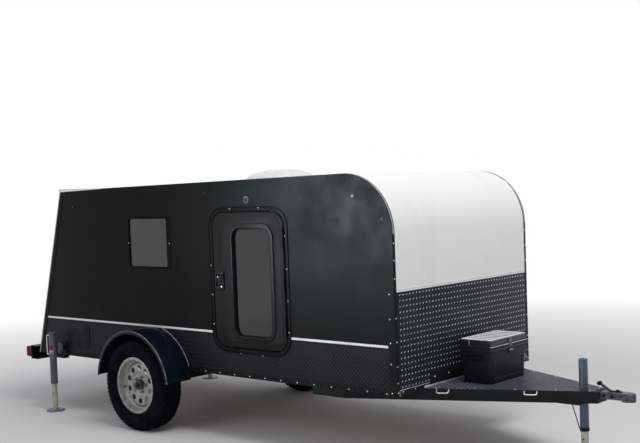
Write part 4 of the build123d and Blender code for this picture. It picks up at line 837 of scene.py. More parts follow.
finish("edgeTrims", bothSides(joined(band, frontFlange, rearFlange,
                                     slotted(onSide(screwsAt(paintedScrews), trimFace), 0),
                                     slotted(brightLine, 1), slotted(arcLine, 3), slotted(rearBright, 3),
                                     slotted(onSide(screwsAt(sideScrews), trimFace), 2),
                                     slotted(flangeHeads, 2))), [blackSheet, brightRod, screwMetal, edgeGrey],
       "trailer", "edge_aluminium", "edge_trims")
print("lower plates, strips and edge trims")

# ---- white front, rolled back over the arc to the roof, and the tread guard under it
front = {"half": 0.7395, "lipZ": 1.080, "guardHalf": 0.7420, "guardLow": 0.486, "middleHalf": 0.430,
         "middleLow": 0.540, "sideLip": 0.586, "gridZ": 0.8, "shrink": 0.985,
         "lowBolts": (0.708, 0.583, 0.47), "middleBolts": (-0.38, -0.227, 0, 0.227, 0.38)}
arcPart = [point for point in outerEdge if point[1] > 1.43 and point[0] > arcCentre[0] - 0.001]
sheetPath = [(frontX, front["lipZ"]), *arcPart,
             (frontX - shell["roofJointAft"], roofZ(shell["roofJointAft"]))]
lips = [onFront(plate(rect(-front["half"], low, front["half"], low + 0.007), (), 0.0035, 0.0015, 3),
                frontX + 0.0042) for low in (1.081, 1.093)]
finish("frontSheet", joined(bentStrip(sheetPath, -front["half"], front["half"], 0.001), *lips), [whiteSheet],
       "trailer", "white_panel")

guardTread = {"Pitch X": 0.034, "Pitch Y": 0.035, "Bar Length": 0.0135, "Bar Width": 0.0072,
              "Bar Height": 0.0014, "Turn": 50.0, "Span X": 1.6, "Span Y": 0.65}
guardRight = [(front["middleHalf"], front["middleLow"]), (front["middleHalf"], front["guardLow"]),
              (front["guardHalf"], front["guardLow"]), (front["guardHalf"], front["lipZ"])]
guardOutline = [(-y, z) for y, z in guardRight[2::-1]] + guardRight + [(-front["guardHalf"], front["lipZ"])]
guardFlat = flatRegion([(y * front["shrink"], z - front["gridZ"] + (0.008 if z < 0.6 else -0.012))
                        for y, z in guardOutline])
guardSheet = onFront(plate(guardOutline, (), 0.003), frontX + 0.003)
# the first family of bars takes the painted glint paint, the second the plain bar paint
guardBars = onFront(moved(treadOn(guardFlat, guardTread, (1, 4)), 0, front["gridZ"]), frontX + 0.003)
middlePlate = onFront(plate(rect(-0.425, 0.4615, 0.425, 0.538), (), 0.004, 0.0012), frontX + 0.0045)
middleBolts = onFront(screwsAt([(y, 0.516) for y in front["middleBolts"]], 0.006, 0.003), frontX + 0.0045)
lowLips, rubbedEdges = [], []
for middle in (-front["sideLip"], front["sideLip"]):
    lowLip = plate(rect(middle - 0.156, 0.452, middle + 0.156, 0.4845), (), 0.002, 0.0008, 1)
    rubbedLine = plate(rect(middle - 0.152, 0.4850, middle + 0.152, 0.4885), (), 0.002, 0.0006, 1)
    lowLips.append(onFront(lowLip, frontX + 0.002))
    rubbedEdges.append(onFront(rubbedLine, frontX + 0.0042))
lowBolts = onFront(screwsAt([(side * y, 0.4725) for y in front["lowBolts"] for side in (-1, 1)]),
                   frontX + 0.002)
finish("frontGuard", joined(guardSheet, guardBars, slotted(middlePlate, 2), slotted(middleBolts, 3),
                            slotted(joined(*lowLips), 2), slotted(joined(*rubbedEdges), 1),
                            slotted(lowBolts, 3)),
       [guardSheetPaint, guardGlintBar, blackSteel, screwMetal, treadBar], "trailer", "black_tread_plate",
       "front_guard")
print("front")

# ---- doors: beaded frame, long hinge, leaf with its raised moulding and sunk glass, paddle latch
doorScrews = ((1.397, 1.608), (1.120, 1.611), (0.887, 1.421), (0.880, 1.204), (0.878, 0.994), (0.876, 0.786),
              (1.128, 0.615), (1.339, 0.615), (1.599, 0.804), (1.602, 1.010), (1.605, 1.216))
hinge = {"x": 0.507, "out": 0.772, "low": 0.7555, "knuckle": 0.145, "grooves": 6, "gap": 0.0005,
         "radius": 0.006, "strap": 0.020}


def doorLoop(grow=0.0, steps=12):
    return boxLoop(door, door["width"] + 2 * grow, door["height"] + 2 * grow, door["radius"] + grow, steps)


def paneLoop(grow=0.0, steps=10):
    return boxLoop(door["pane"], door["paneWidth"] + 2 * grow, door["paneHeight"] + 2 * grow,
                   door["paneRadius"] + grow, steps)


def knuckles(spans, radius, grooves=1):
    # turned barrels, each marked off by fine grooves
    parts = []
    for low, high in spans:
        profile = [(low, 0)]
        step = (high - low) / grooves
        for count in range(grooves):
            start, end = low + count * step, low + (count + 1) * step
            profile += [(start, radius - 0.0010), (start + 0.0009, radius), (end - 0.0009, radius),
                        (end, radius - 0.0010)]
        parts.append(lathe(profile + [(high, 0)], 20))
    return joined(*parts)


def hingeLeaf(numbers, gap, side):
    spans = [(k * hinge["knuckle"] + gap, (k + 1) * hinge["knuckle"] - gap) for k in numbers]
    straps = [moved(bar(hinge["strap"] / 2, 0.002, high - low, 0.0006, 1),
                    side * (hinge["strap"] / 4 + 0.0005), 0.005, low) for low, high in spans]
    return moved(joined(knuckles(spans, hinge["radius"], hinge["grooves"]), *straps), hinge["x"],
                 -hinge["out"], hinge["low"])


frameFlange = onSide(plate(doorLoop(), [doorLoop(door["jamb"])], 0.004, 0.0016, 3), doorFace)
outerBead = onSide(plate(doorLoop(), [doorLoop(-0.008)], 0.004, 0.0024, 4), door["beadFace"])
innerBead = onSide(plate(doorLoop(-0.028), [doorLoop(door["jamb"])], 0.003, 0.0014, 3), door["stepFace"])
frameJamb = onSide(plate(doorLoop(-0.0223), [doorLoop(door["jamb"])], 0.038, 0.001, 1), coreFace)
frameScrews = onSide(screwsAt([(frontX - aft, z) for aft, z in doorScrews], 0.0046, 0.0024), doorFace)
finish("doorFrames", bothSides(joined(slotted(frameFlange, 2), outerBead, innerBead, frameJamb,
                                      hingeLeaf((0, 2, 4), 0, 1), slotted(frameScrews, 1))),
       [frameTrim, screwMetal, blackSheet], "trailer", "black_trim", "door_frames")

leafPlate = onSide(plate(doorLoop(-0.039), [paneLoop()], 0.038, 0.0022, 3, backIndex=1), doorFace)
leafPanel = onSide(plate(doorLoop(-0.066), [paneLoop(0.0335)], 0.0016, 0.0012, 3), door["stepFace"])
moulding = onSide(plate(paneLoop(0.034, 12), [paneLoop()], 0.0072, 0.0030, 4), 0.773)
seal = onSide(plate(paneLoop(), [paneLoop(-0.008)], 0.0030, 0.0010), 0.7552)
leafDark = joined(moulding, seal, hingeLeaf((1, 3), hinge["gap"], -1))
finishPair("doorLeaf", joined(leafPlate, leafPanel, slotted(leafDark, 2)),
           [doorSheet, whiteSheet, darkTrim], "door_{}", "black_panel", "door_{}")
finishPair("doorGlass", onSide(plate(paneLoop(), (), 0.005, 0.0006, 1), 0.753), [darkGlass], "door_{}",
           "dark_glass", "door_pane_{}")

latch = {"x": -0.1155, "z": 1.110, "out": 0.776, "paddleOut": 0.779, "wellOut": 0.769,
         "bezel": (0.087, 0.127, 0.014)}
latchWell = {"x": latch["x"], "z": latch["z"] + 0.00425}
latchPaddle = {"x": latch["x"], "z": latch["z"] + 0.014}
bezel = plate(boxLoop(latch, *latch["bezel"]), [boxLoop(latchWell, 0.057, 0.080, 0.010)], 0.010, 0.0028, 3)
well = plate(boxLoop(latchWell, 0.058, 0.081, 0.010), (), 0.002, 0.0005, 1)
paddle = plate(boxLoop(latchPaddle, 0.049, 0.042, 0.008), (), 0.010, 0.0034, 4)
keyway = lathe([(0, 0), (0, 0.0062), (0.0016, 0.0062), (0.0020, 0.0054), (0.0020, 0)], 20)
keyway = moved(keyway, latch["x"] + 0.022, latch["z"] - 0.040)
latchScrew = screwsAt([(latch["x"] - 0.012, latch["z"] + 0.026)], 0.0058, 0.0022)
finishPair("doorLatch", joined(onSide(bezel, latch["out"]), onSide(well, latch["wellOut"]),
                               onSide(paddle, latch["paddleOut"]), slotted(onSide(keyway, latch["out"]), 1),
                               slotted(onSide(latchScrew, latch["paddleOut"]), 1)), [darkTrim, screwMetal],
           "door_{}", "black_plastic", "door_latch_{}")
print("doors")

# ---- side windows
windowLip = plate(boxLoop(window, window["width"], window["height"], window["radius"], 8),
                  [boxLoop(window, 0.428, 0.354, 0.012, 8, ahead=-0.011)], 0.005, 0.0020, 3)
windowLiner = plate(boxLoop(window, 0.4614, 0.3634, 0.0177, 8), [boxLoop(window, 0.4534, 0.3574, 0.0138, 8)],
                    0.038, 0.001, 1)
windowScrews = screwsAt([(window["x"] + x, window["z"] - 0.004) for x in (-0.235, 0.235)], 0.0042, 0.002)
windowPane = plate(boxLoop(window, 0.4532, 0.3572, 0.0135), (), 0.005, 0.0006, 1)
finish("windowFrames", bothSides(joined(onSide(windowLip, trimFace), onSide(windowLiner, coreFace),
                                        slotted(onSide(windowScrews, trimFace), 1))),
       [frameTrim, screwMetal], "trailer", "black_trim", "window_frames")
finish("windowGlass", bothSides(onSide(windowPane, 0.759)), [darkGlass], "trailer", "dark_glass",
       "window_panes")
print("windows")


# ---- fenders: rolled sheet with a turned-down lip, and a flange against the side
def roundWheel(radius, turn):
    return around(axleX, axleZ, radius, math.radians(turn))


def arcRound(radius, start, end, steps):
    return [roundWheel(radius, start + (end - start) * k / steps) for k in range(steps + 1)]


def turnAt(radius, z):
    return math.degrees(math.asin((z - axleZ) / radius))


top, lip = fender["radius"], fender["radius"] - fender["lip"]
fenderProfile = [(0.7642, top), (0.9840, top), (0.9885, top - 0.0015), (0.9910, top - 0.0060),
                 (0.9910, lip + 0.0015), (0.9898, lip), (0.9880, lip + 0.0012), (0.9878, top - 0.0070),
                 (0.9860, top - 0.0040), (0.9830, top - 0.0030), (0.7642, top - 0.0030)]
endTurn = turnAt(top, fender["endZ"])
fenderShell = arcSweep(fenderProfile, endTurn, 180 - endTurn, 72, axleX, axleZ)
for face in fenderShell.faces:
    spot = face.calc_center_median()
    if -spot.y > 0.9835 and math.hypot(spot.x - axleX, spot.z - axleZ) > top - 0.005:
        face.material_index = 2  # the paint is rubbed along the outer bend
flangeRadius = fender["flangeRadius"]
highTurn = turnAt(flangeRadius, stripZ - strip["half"] - fit)
lowTurn, innerLow = turnAt(flangeRadius, fender["flangeLow"]), turnAt(top - 0.002, fender["flangeLow"])
flangeLoop = arcRound(flangeRadius, lowTurn, highTurn, 20)
flangeLoop += [(2 * axleX - x, z) for x, z in flangeLoop[::-1]]
flangeLoop += arcRound(top - 0.002, 180 - innerLow, innerLow, 48)
fenderFlange = onSide(plate(flangeLoop, (), fender["sheet"]), trimFace)
wornLoop = arcRound(flangeRadius, lowTurn, highTurn, 24)
wornLoop += arcRound(flangeRadius - fender["wornWidth"], highTurn, lowTurn, 24)
wornLine = onSide(plate(wornLoop, (), 0.0006, 0.0002, 1), 0.7674)
flangeScrews = screwsAt([roundWheel(fender["screwRadius"], turn) for angle in fender["screws"]
                         for turn in (angle, 180 - angle)], 0.0036, 0.0014)
finishPair("fender", joined(fenderShell, fenderFlange, slotted(wornLine, 3),
                            slotted(onSide(flangeScrews, trimFace), 0)),
           [fenderPaint, screwMetal, wornPaint, rubbedEdge], "trailer", "black_panel", "fender_{}")
print("fenders")

# ---- wheels: rolled rim, pierced disc with a sunk nut seat, greasy hub, nuts and valve
wheel = {"out": 0.877, "discOut": 0.035, "holeRadius": 0.0205, "holeCircle": 0.122, "holes": 10,
         "nutCircle": 0.057, "nuts": 5, "valveTurn": 190}
rimSide = [(0.080, 0.205), (0.0788, 0.2072), (0.0765, 0.2078), (0.0745, 0.2066), (0.074, 0.204),
           (0.074, 0.1925), (0.0715, 0.1905), (0.042, 0.187), (0.033, 0.1835)]
rimProfile = [(0.080, 0.187), *rimSide, (0.025, 0.1735), (-0.025, 0.1725),
              *((-out, radius) for out, radius in rimSide[::-1]), (-0.08, 0.187), (-0.042, 0.1835),
              (-0.03, 0.18), (-0.023, 0.1695), (0.023, 0.1695), (0.03, 0.1795), (0.042, 0.1832),
              (0.07, 0.1868)]
dishProfile = [(0.035, 0.149), (0.0346, 0.1525), (0.0325, 0.156), (0.027, 0.1585), (0.0245, 0.1605),
               (0.024, 0.164), (0.0252, 0.1668), (0.0262, 0.169), (0.025, 0.1712), (0.02, 0.1718),
               (0.018, 0.17), (0.019, 0.166), (0.0185, 0.161), (0.0215, 0.156), (0.028, 0.153), (0.03, 0.149)]
seatProfile = [(0.035, 0.097), (0.0347, 0.0945), (0.0325, 0.092), (0.026, 0.0885), (0.023, 0.0855),
               (0.022, 0.0815), (0.022, 0.037), (0.017, 0.037), (0.017, 0.082), (0.0185, 0.088),
               (0.0225, 0.0925), (0.027, 0.095), (0.03, 0.097)]
# dark ring at the bottom of the groove round the disc, painted shade
grooveShadeProfile = [(0.0238, 0.1602), (0.025, 0.1604), (0.0249, 0.1632), (0.0256, 0.166), (0.0238, 0.1662)]
hubProfile = [(-0.028, 0.0171), (-0.028, 0.0445), (-0.0265, 0.046), (0.0165, 0.046), (0.0168, 0.039),
              (0.0225, 0.0388), (0.0235, 0.038), (0.043, 0.0374), (0.0475, 0.0362), (0.0498, 0.0335),
              (0.0502, 0.0225), (0.0512, 0.0205), (0.053, 0.02), (0.06, 0.0196), (0.0606, 0.0204),
              (0.0632, 0.0204), (0.0638, 0.0195), (0.074, 0.0183), (0.078, 0.0172), (0.0797, 0.015),
              (0.08, 0)]
holePlaces = [around(0, 0, wheel["holeCircle"], 2 * math.pi * (k + 0.5) / wheel["holes"])
              for k in range(wheel["holes"])]
discHoles = [circleOf(x, y, wheel["holeRadius"]) for x, y in holePlaces]
flatDisc = moved(plate(circleOf(0, 0, 0.150, 80), [circleOf(0, 0, 0.096, 64), *discHoles], 0.005, 0.0016, 3),
                 z=wheel["discOut"])
nutParts = []
for k in range(wheel["nuts"]):
    seat = lathe([(0.0215, 0), (0.0215, 0.0135), (0.0232, 0.0126), (0.024, 0.0105), (0.024, 0)], 20)
    stud = lathe([(0.034, 0), (0.034, 0.0058), (0.042, 0.0056), (0.043, 0.0045), (0.043, 0)], 14)
    nut = plate(circleOf(0, 0, 0.0105, 6), (), 0.0145, 0.0029, 1, smoothRims=False)
    place = around(0, 0, wheel["nutCircle"], math.radians(360 / wheel["nuts"] * k))
    nutParts.append(slotted(moved(joined(moved(nut, z=0.0235), seat, stud), *place), 2))
valve = rod([(*around(0, 0, reach, math.radians(wheel["valveTurn"])), out)
             for reach, out in ((0.163, 0.024), (0.158, 0.040), (0.150, 0.062))], 0.0042, 3)
wheelParts = joined(lathe(rimProfile, 96, closed=True), flatDisc, lathe(dishProfile, 96, closed=True),
                    lathe(seatProfile, 80, closed=True),
                    slotted(joined(lathe(hubProfile, 56), lathe(grooveShadeProfile, 96, closed=True)), 1),
                    *nutParts, slotted(valve, 3))
finishPair("wheel", outOfSide(wheelParts, axleX, wheel["out"], axleZ),
           [wheelPaint, hubGreaseAndShade, rustSteel, tyreRubber], "wheel_{}", "wheel_paint", "wheel_{}")

# ---- tyres with circumferential grooves and cut shoulders
tyre = {"grooves": (0.050, 0.018), "cuts": 66, "cutDepth": 0.0045, "sideRings": (0.2230, 0.2390)}
sideSection = [(0.0737, 0.1908), (0.074, 0.2045), (0.079, 0.21), (0.086, 0.215), (0.09, 0.22)]
for ring in tyre["sideRings"]:
    wide = 0.0925 + (ring - 0.223) * 0.28
    sideSection += [(wide, ring - 0.0022), (wide + 0.0014, ring - 0.001), (wide + 0.0014, ring + 0.001),
                    (wide + 0.0006, ring + 0.0022)]
sideSection += [(0.1, 0.252), (0.102, 0.264), (0.1013, 0.276), (0.1, 0.286), (0.1006, 0.2884),
                (0.1006, 0.2912), (0.0985, 0.2935), (0.0965, 0.299)]
cutSection = [(0.0945, 0.308), (0.0905, 0.318), (0.085, 0.3255), (0.077, 0.3305), (0.07, 0.3328),
              (0.062, 0.3338)]
treadSection = []
for groove in tyre["grooves"]:
    treadSection += [(groove + 0.0042, 0.3345), (groove + 0.003, 0.3275), (groove - 0.003, 0.3275),
                     (groove - 0.0042, 0.3347)]
halfSection = sideSection + cutSection + treadSection
fullSection = halfSection + [(0.0, 0.335)] + [(-out, radius) for out, radius in halfSection[::-1]]
innerHalf = [(0.07, 0.315), (0.085, 0.264), (0.07, 0.23), (0.052, 0.2), (0.064, 0.1908)]
innerSection = [(-out, radius) for out, radius in innerHalf[::-1]] + innerHalf
tyreRows = []
for out, radius in fullSection + innerSection:
    cutAt = None
    if (abs(out), radius) in cutSection:
        cutAt = 0 if out > 0 else 1
    row = []
    for k in range(tyre["cuts"] * 3):
        depth = tyre["cutDepth"] if k % 3 == cutAt else 0.0
        place = around(0, 0, radius - depth, 2 * math.pi * k / (tyre["cuts"] * 3))
        row.append((*place, out - math.copysign(depth * 0.5, out)))
    tyreRows.append(row)
finishPair("tyre", outOfSide(sweep(tyreRows, False, False, True), axleX, wheel["out"], axleZ), [tyreRubber],
           "wheel_{}", "tyre", "tyre_{}", sharp=24)
print("wheels and tyres")

# ---- axle and springs keep their solids; U-bolts and shackle bolts are added
spring = {"y": 0.699, "boltOut": 0.030, "boltLow": 0.300, "boltHigh": 0.388, "boltAway": 0.036,
          "shackleAway": 0.330}
boltPath = [(-1, spring["boltHigh"]), (-1, spring["boltLow"]), (1, spring["boltLow"]),
            (1, spring["boltHigh"])]
springBolts = []
for end in (-1, 1):
    boltX = axleX + end * spring["boltAway"]
    spots = [(boltX, -spring["y"] + side * spring["boltOut"], z) for side, z in boltPath]
    springBolts.append(rod(spots, 0.005, 3, bend=0.015))
    springBolts.append(outOfSide(boltHead(0.013, 0.012, 0.002, 0.002), axleX + end * spring["shackleAway"],
                                 spring["y"] + 0.0225, 0.437))
springBolts.append(moved(bar(0.110, 0.075, 0.008), axleX, -spring["y"], 0.386))
finish("springBolts", bothSides(joined(*springBolts)), [blackSteel], "trailer", "black_steel")

# ---- tongue: rails of rounded tube, bright deck with a turned-up rear edge, rod loops
tongue = {"halfAngle": math.radians(25), "apexAhead": 1.079, "endAhead": 0.950, "noseLength": 0.060,
          "rearAft": 0.470, "width": 0.050, "top": 0.458, "height": 0.071, "tailAft": 0.730}


def railY(distance):
    return (tongue["apexAhead"] - distance) * math.tan(tongue["halfAngle"])


def betweenRails(rear, front, inset=0.0):
    # outline over both rails between two distances ahead of the front face
    return [(frontX + rear, -railY(rear) + inset), (frontX + front, -railY(front) + inset),
            (frontX + front, railY(front) - inset), (frontX + rear, railY(rear) - inset)]


railSkew = tongue["width"] / math.cos(tongue["halfAngle"])
railRear, railFront = betweenRails(-tongue["rearAft"], tongue["endAhead"])[:2]
railOutline = [railRear, railFront, (railFront[0], railFront[1] + railSkew),
               (railRear[0], railRear[1] + railSkew)]
rail = onTop(plate(railOutline, (), tongue["height"], 0.006, 4), tongue["top"])
noseX = frontX + tongue["endAhead"] - 0.001
noseOutline = rect(noseX - tongue["noseLength"], -0.058, noseX, 0.058)
noseBar, crossBar = (onTop(plate(outline, (), tongue["height"] - 0.002, 0.005), tongue["top"] - 0.001)
                     for outline in (noseOutline, betweenRails(0.025, 0.075, 0.02)))
tailLength = tongue["tailAft"] - tongue["rearAft"] + 0.010
railTail = moved(bar(tailLength, tongue["width"], tongue["height"] - 0.001, 0.005),
                 frontX - tongue["tailAft"] + tailLength / 2, railRear[1] + tongue["width"] / 2 + 0.0008,
                 tongue["top"] - tongue["height"] + 0.0005)
finish("tongueRails", joined(bothSides(rail), bothSides(railTail), noseBar, crossBar), [blackSteel],
       "trailer", "black_steel", "tongue_rails")

deck = {"z": 0.461, "rear": 0.006, "front": 0.930, "hole": 0.0273, "stop": 0.003, "middle": 1.85,
        "rivets": (0.06, 0.28, 0.50, 0.72, 0.90)}
deckTread = {"Pitch X": 0.034, "Pitch Y": 0.034, "Bar Length": 0.023, "Bar Width": 0.0052,
             "Bar Height": 0.0012, "Turn": 45.0, "Span X": 1.0, "Span Y": 1.1}
jack = {"x": 2.2305, "legRadius": 0.0225, "bracketZ": 0.387, "bracketHalf": 0.117}
deckOutline = betweenRails(deck["rear"], deck["front"])
deckSheet = onTop(plate(deckOutline, [circleOf(jack["x"], 0, deck["hole"], 32)], 0.003, 0.0006, 1), deck["z"])
deckFlat = flatRegion([(x - deck["middle"] + (0.010 if x < 1.6 else -0.006), y * 0.985)
                       for x, y in deckOutline], [circleOf(jack["x"] - deck["middle"], 0, 0.037, 20)])
deckBars = onTop(moved(treadOn(deckFlat, deckTread, (2, 2)), deck["middle"]), deck["z"])
stopAhead = deck["rear"] + deck["stop"]
stopHalf = railY(stopAhead) - 0.001
deckStop = onFront(plate(rect(-stopHalf, 0.4612, stopHalf, 0.475), (), deck["stop"], 0.0010),
                   frontX + stopAhead)
deckRivets = screwsAt([(frontX + ahead, side * (railY(ahead) - 0.020)) for ahead in deck["rivets"]
                       for side in (-1, 1)], 0.006, 0.0022)
finish("tongueDeck",
       joined(deckSheet, deckBars, slotted(deckStop, 1), slotted(onTop(deckRivets, deck["z"]), 1)),
       [alloyTread, alloyBar, deckBar], "trailer", "bare_tread_plate", "tongue_deck")

loop = {"rod": 0.0036, "half": 0.0375, "out": 0.027, "places": (0.110, 0.595), "z": 0.453,
        "droop": math.radians(34)}
loopPath = [(-loop["half"], 0.002, 0), (-loop["half"], -loop["out"], 0), (loop["half"], -loop["out"], 0),
            (loop["half"], 0.002, 0)]
loopParts = []
for place in loop["places"]:
    shape = rod(loopPath, loop["rod"], bend=0.014)
    shape.transform(Matrix.Translation((frontX + place, -railY(place), loop["z"]))
                    @ Matrix.Rotation(tongue["halfAngle"], 4, "Z") @ Matrix.Rotation(loop["droop"], 4, "X"))
    loopParts.append(shape)
finish("tieDownLoops", bothSides(joined(*loopParts)), [brightRod], "trailer", "bright_steel",
       "tie_down_loops")

# ---- coupler: flat lever with a round grip, pivot and bolts on the solid's channel
coupler = {"leverFront": 2.4743, "leverRear": 2.4043, "half": 0.013, "gripX": 2.3360, "gripZ": 0.501,
           "boltPlaces": (2.378, 2.432)}
half = coupler["half"]
leverFront, leverRear, gripX = (coupler[key] for key in ("leverFront", "leverRear", "gripX"))
leverOutline = [(leverRear, 0.4583), (gripX - 0.003, 0.498), (gripX + 0.003, 0.504),
                (leverRear + 0.003, 0.464), (leverFront, 0.464), (leverFront, 0.4583)]
grip = lathe([(-half, 0), (-half, 0.0110), (-half + 0.002, 0.0130), (half - 0.002, 0.0130), (half, 0.0110),
              (half, 0)], 28)
couplerBolts = [slotted(outOfSide(boltHead(0.011, 0.009, 0.001, 0.002), x, 0.038, 0.436), 1)
                for x in coupler["boltPlaces"]]
finish("couplerLever", joined(onSide(plate(leverOutline, (), 2 * half, 0.0016), half),
                              outOfSide(grip, gripX, 0, coupler["gripZ"]),
                              moved(bar(0.020, 0.016, 0.010, 0.002), 2.452, 0, 0.462),
                              bothSides(joined(*couplerBolts))),
       [darkTrim, blackSteel], "trailer", "grey_steel", "coupler_latch")
print("tongue")

# ---- tongue jack: tube with its cap and stud, bracket under the rails, and the galvanised leg with its foot
tubeProfile = [(0.199, 0.0228), (0.199, 0.0262), (0.2, 0.027), (0.23, 0.027), (0.629, 0.027),
               (0.6294, 0.0264), (0.6304, 0.0264), (0.6308, 0.027), (0.6385, 0.027), (0.64, 0.0256),
               (0.6402, 0.0092), (0.643, 0.0088), (0.6438, 0.0074), (0.644, 0), (0.63, 0), (0.63, 0.0228)]
jackTube = moved(lathe(tubeProfile, 48), jack["x"])
clamp = moved(lathe([(0.201, 0.0268), (0.201, 0.0286), (0.203, 0.0292), (0.221, 0.0292), (0.223, 0.0286),
                     (0.223, 0.0268)], 40), jack["x"])
brace = rod([(jack["x"] - 0.075, -0.020, 0.380), (jack["x"] - 0.060, -0.020, 0.330),
             (jack["x"] - 0.027, -0.012, 0.214)], 0.0032, 3, bend=0.02)
bracket = plate(rect(jack["x"] - 0.115, -jack["bracketHalf"], jack["x"] + 0.035, jack["bracketHalf"]),
                [circleOf(jack["x"], 0, 0.0272, 32)], 0.010, 0.0015)
finish("tongueJack", joined(jackTube, slotted(joined(onTop(bracket, jack["bracketZ"]), clamp, brace), 1)),
       [bluePaint, blackSteel], "trailer", "grey_steel", "tongue_jack")


def jackLeg(x, y, radius, top):
    profile = [(0, 0), (0, 0.071), (0.0022, 0.0745), (0.005, 0.075), (0.008, 0.0735), (0.0105, 0.069),
               (0.0085, 0.064), (0.0085, 0.03), (0.012, radius + 0.004), (0.016, radius),
               (top - 0.002, radius), (top, radius - 0.002), (top, 0)]
    pin = lathe([(-0.001, 0), (-0.001, 0.0055), (0.0012, 0.0055), (0.0016, 0.0045), (0.0016, 0)], 16)
    return joined(moved(lathe(profile, 48), x, y), slotted(outOfSide(pin, x, -y + radius - 0.0004, 0.150), 1))


finish("tongueLeg", jackLeg(jack["x"], 0, jack["legRadius"], 0.319), [zincLeg, blackSteel], "tongue_leg",
       "galvanised_steel", "tongue_leg")

# ---- tool box: flared tub with rimmed edge, rimmed lid, hasp in front and handles on the ends
box = {"x": 1.6025, "z": 0.625, "depth": 0.204, "length": 0.400, "bottom": 0.4613,
       "rimZ": 0.680, "flare": 0.015, "rim": 0.010, "stepZ": 0.632, "tubRim": 0.012, "lidRim": 0.019,
       "lidTop": 0.7423, "hingeX": 1.4695, "hingeZ": 0.68015, "hinges": (-0.120, 0.120)}
shoulder, rimZ, rimGrow = box["rimZ"] - box["tubRim"], box["rimZ"], box["flare"] + box["rim"]
lidLow, lidEdge, lidTop = rimZ + fit, rimZ + box["lidRim"], box["lidTop"]
stepGrow = box["flare"] * (box["stepZ"] - box["bottom"]) / (shoulder - box["bottom"])


def boxTiers(rows, capLow=True):
    # rows of height, how far the box has grown there, and corner radius
    sized = [(z, box["depth"] + 2 * grow, box["length"] + 2 * grow, corner) for z, grow, corner in rows]
    return moved(tiers(sized, capLow), box["x"])


tub = boxTiers([(box["bottom"], -0.002, 0.014), (box["bottom"] + 0.003, 0, 0.014),
                (box["stepZ"] - 0.002, stepGrow - 0.004, 0.014), (box["stepZ"], stepGrow, 0.014),
                (shoulder, box["flare"], 0.014), (shoulder + 0.0002, rimGrow - 0.0015, 0.018),
                (shoulder + 0.0020, rimGrow, 0.019), (rimZ - 0.0015, rimGrow, 0.019),
                (rimZ, rimGrow - 0.001, 0.018), (rimZ, 0.010, 0.012), (0.4663, -0.005, 0.010)])
lid = boxTiers([(lidLow, rimGrow - 0.001, 0.018), (lidLow + 0.0015, rimGrow, 0.019),
                (lidEdge - 0.0020, rimGrow, 0.019), (lidEdge, rimGrow - 0.0020, 0.018),
                (lidEdge + 0.0008, rimGrow - 0.0060, 0.018), (lidTop - 0.012, 0.0160, 0.020),
                (lidTop - 0.004, 0.0135, 0.020), (lidTop - 0.0010, 0.0090, 0.018), (lidTop, 0.0040, 0.016),
                (lidTop, -0.0060, 0.014), (lidTop - 0.0025, -0.0100, 0.012)], False)
lidInner = boxTiers([(lidLow, rimGrow - 0.001, 0.018), (lidLow, 0.010, 0.012),
                     (lidTop - 0.005, 0.010, 0.012)], False)
for face in lidInner.faces:
    if face.normal.z > 0.5:
        face.normal_flip()
frontPanel = plate(rect(-0.176, 0.022, 0.176, 0.150), [rect(-0.164, 0.034, 0.164, 0.138)], 0.006, 0.0024, 3)
frontPanel = onPlane(frontPanel, (box["x"] + box["depth"] / 2 + 0.0010, 0, box["bottom"]), (0, 1, 0),
                     (box["flare"] / (shoulder - box["bottom"]), 0, 1))
keeper = onFront(plate(rect(-0.012, 0.640, 0.012, 0.6678), (), 0.014, 0.0025, 3), box["x"] + 0.123)
endHandle = plate(boxLoop(box, 0.120, 0.034, 0.0165, 8), [boxLoop(box, 0.096, 0.014, 0.0068, 8)], 0.008,
                  0.0022, 3)
endRecess = plate(boxLoop(box, 0.100, 0.018, 0.0085, 8), (), 0.002, 0.0004, 1)
boxHinge, lidHinge = [], []
for end in box["hinges"]:
    pin = lathe([(-0.002, 0), (-0.002, 0.003), (0.092, 0.003), (0.092, 0)], 12)
    for barrels, parts in ((joined(knuckles(((0, 0.030), (0.060, 0.090)), 0.006), pin), boxHinge),
                           (knuckles(((0.0305, 0.0595),), 0.006), lidHinge)):
        parts.append(outOfSide(moved(barrels, z=-0.045), box["hingeX"], -end, box["hingeZ"]))
finish("toolBox", joined(tub, frontPanel, slotted(keeper, 1), slotted(bothSides(onSide(endHandle, 0.221)), 1),
                         bothSides(onSide(endRecess, 0.2145)), *boxHinge),
       [boxPlastic, darkTrim], "trailer", "black_plastic", "tool_box")
hasp = onFront(plate(rect(-0.0175, lidLow, 0.0175, 0.7352), (), 0.010, 0.0030, 3), box["x"] + 0.130)
haspBead = onFront(plate(rect(-0.0110, lidLow + 0.008, 0.0110, 0.7280), (), 0.003, 0.0012), box["x"] + 0.131)
haspHook = onFront(plate(rect(-0.024, 0.6560, 0.024, 0.6640), (), 0.004, 0.0016), box["x"] + 0.1330)
endStrap = plate([(box["x"] - 0.046, 0.7005), (box["x"] - 0.037, 0.7005), (box["x"] - 0.039, 0.7360),
                  (box["x"] - 0.044, 0.7360)], (), 0.003, 0.0012)
lidRibs = [onTop(plate(rect(box["x"] - 0.088, y - 0.005, box["x"] + 0.088, y + 0.005), (), 0.003, 0.0012),
                 lidTop) for y in (-0.150, -0.090, -0.030, 0.030, 0.090, 0.150)]
finish("toolBoxLid", joined(lid, lidInner, *lidRibs, slotted(hasp, 1), slotted(haspBead, 1),
                            slotted(haspHook, 3), bothSides(slotted(onSide(endStrap, 0.2190), 3)), *lidHinge),
       [boxPlastic, greyPaint, screwMetal, edgeGrey], "tool_box_lid", "black_plastic", "tool_box_lid")
print("jack and tool box")

# ---- rear lamps, markers, porch lamps and small fittings
rear = {"faceX": -2.4785, "z": 0.438, "lampY": 0.706, "ribs": (0.010, 0.022, 0.034, 0.046)}


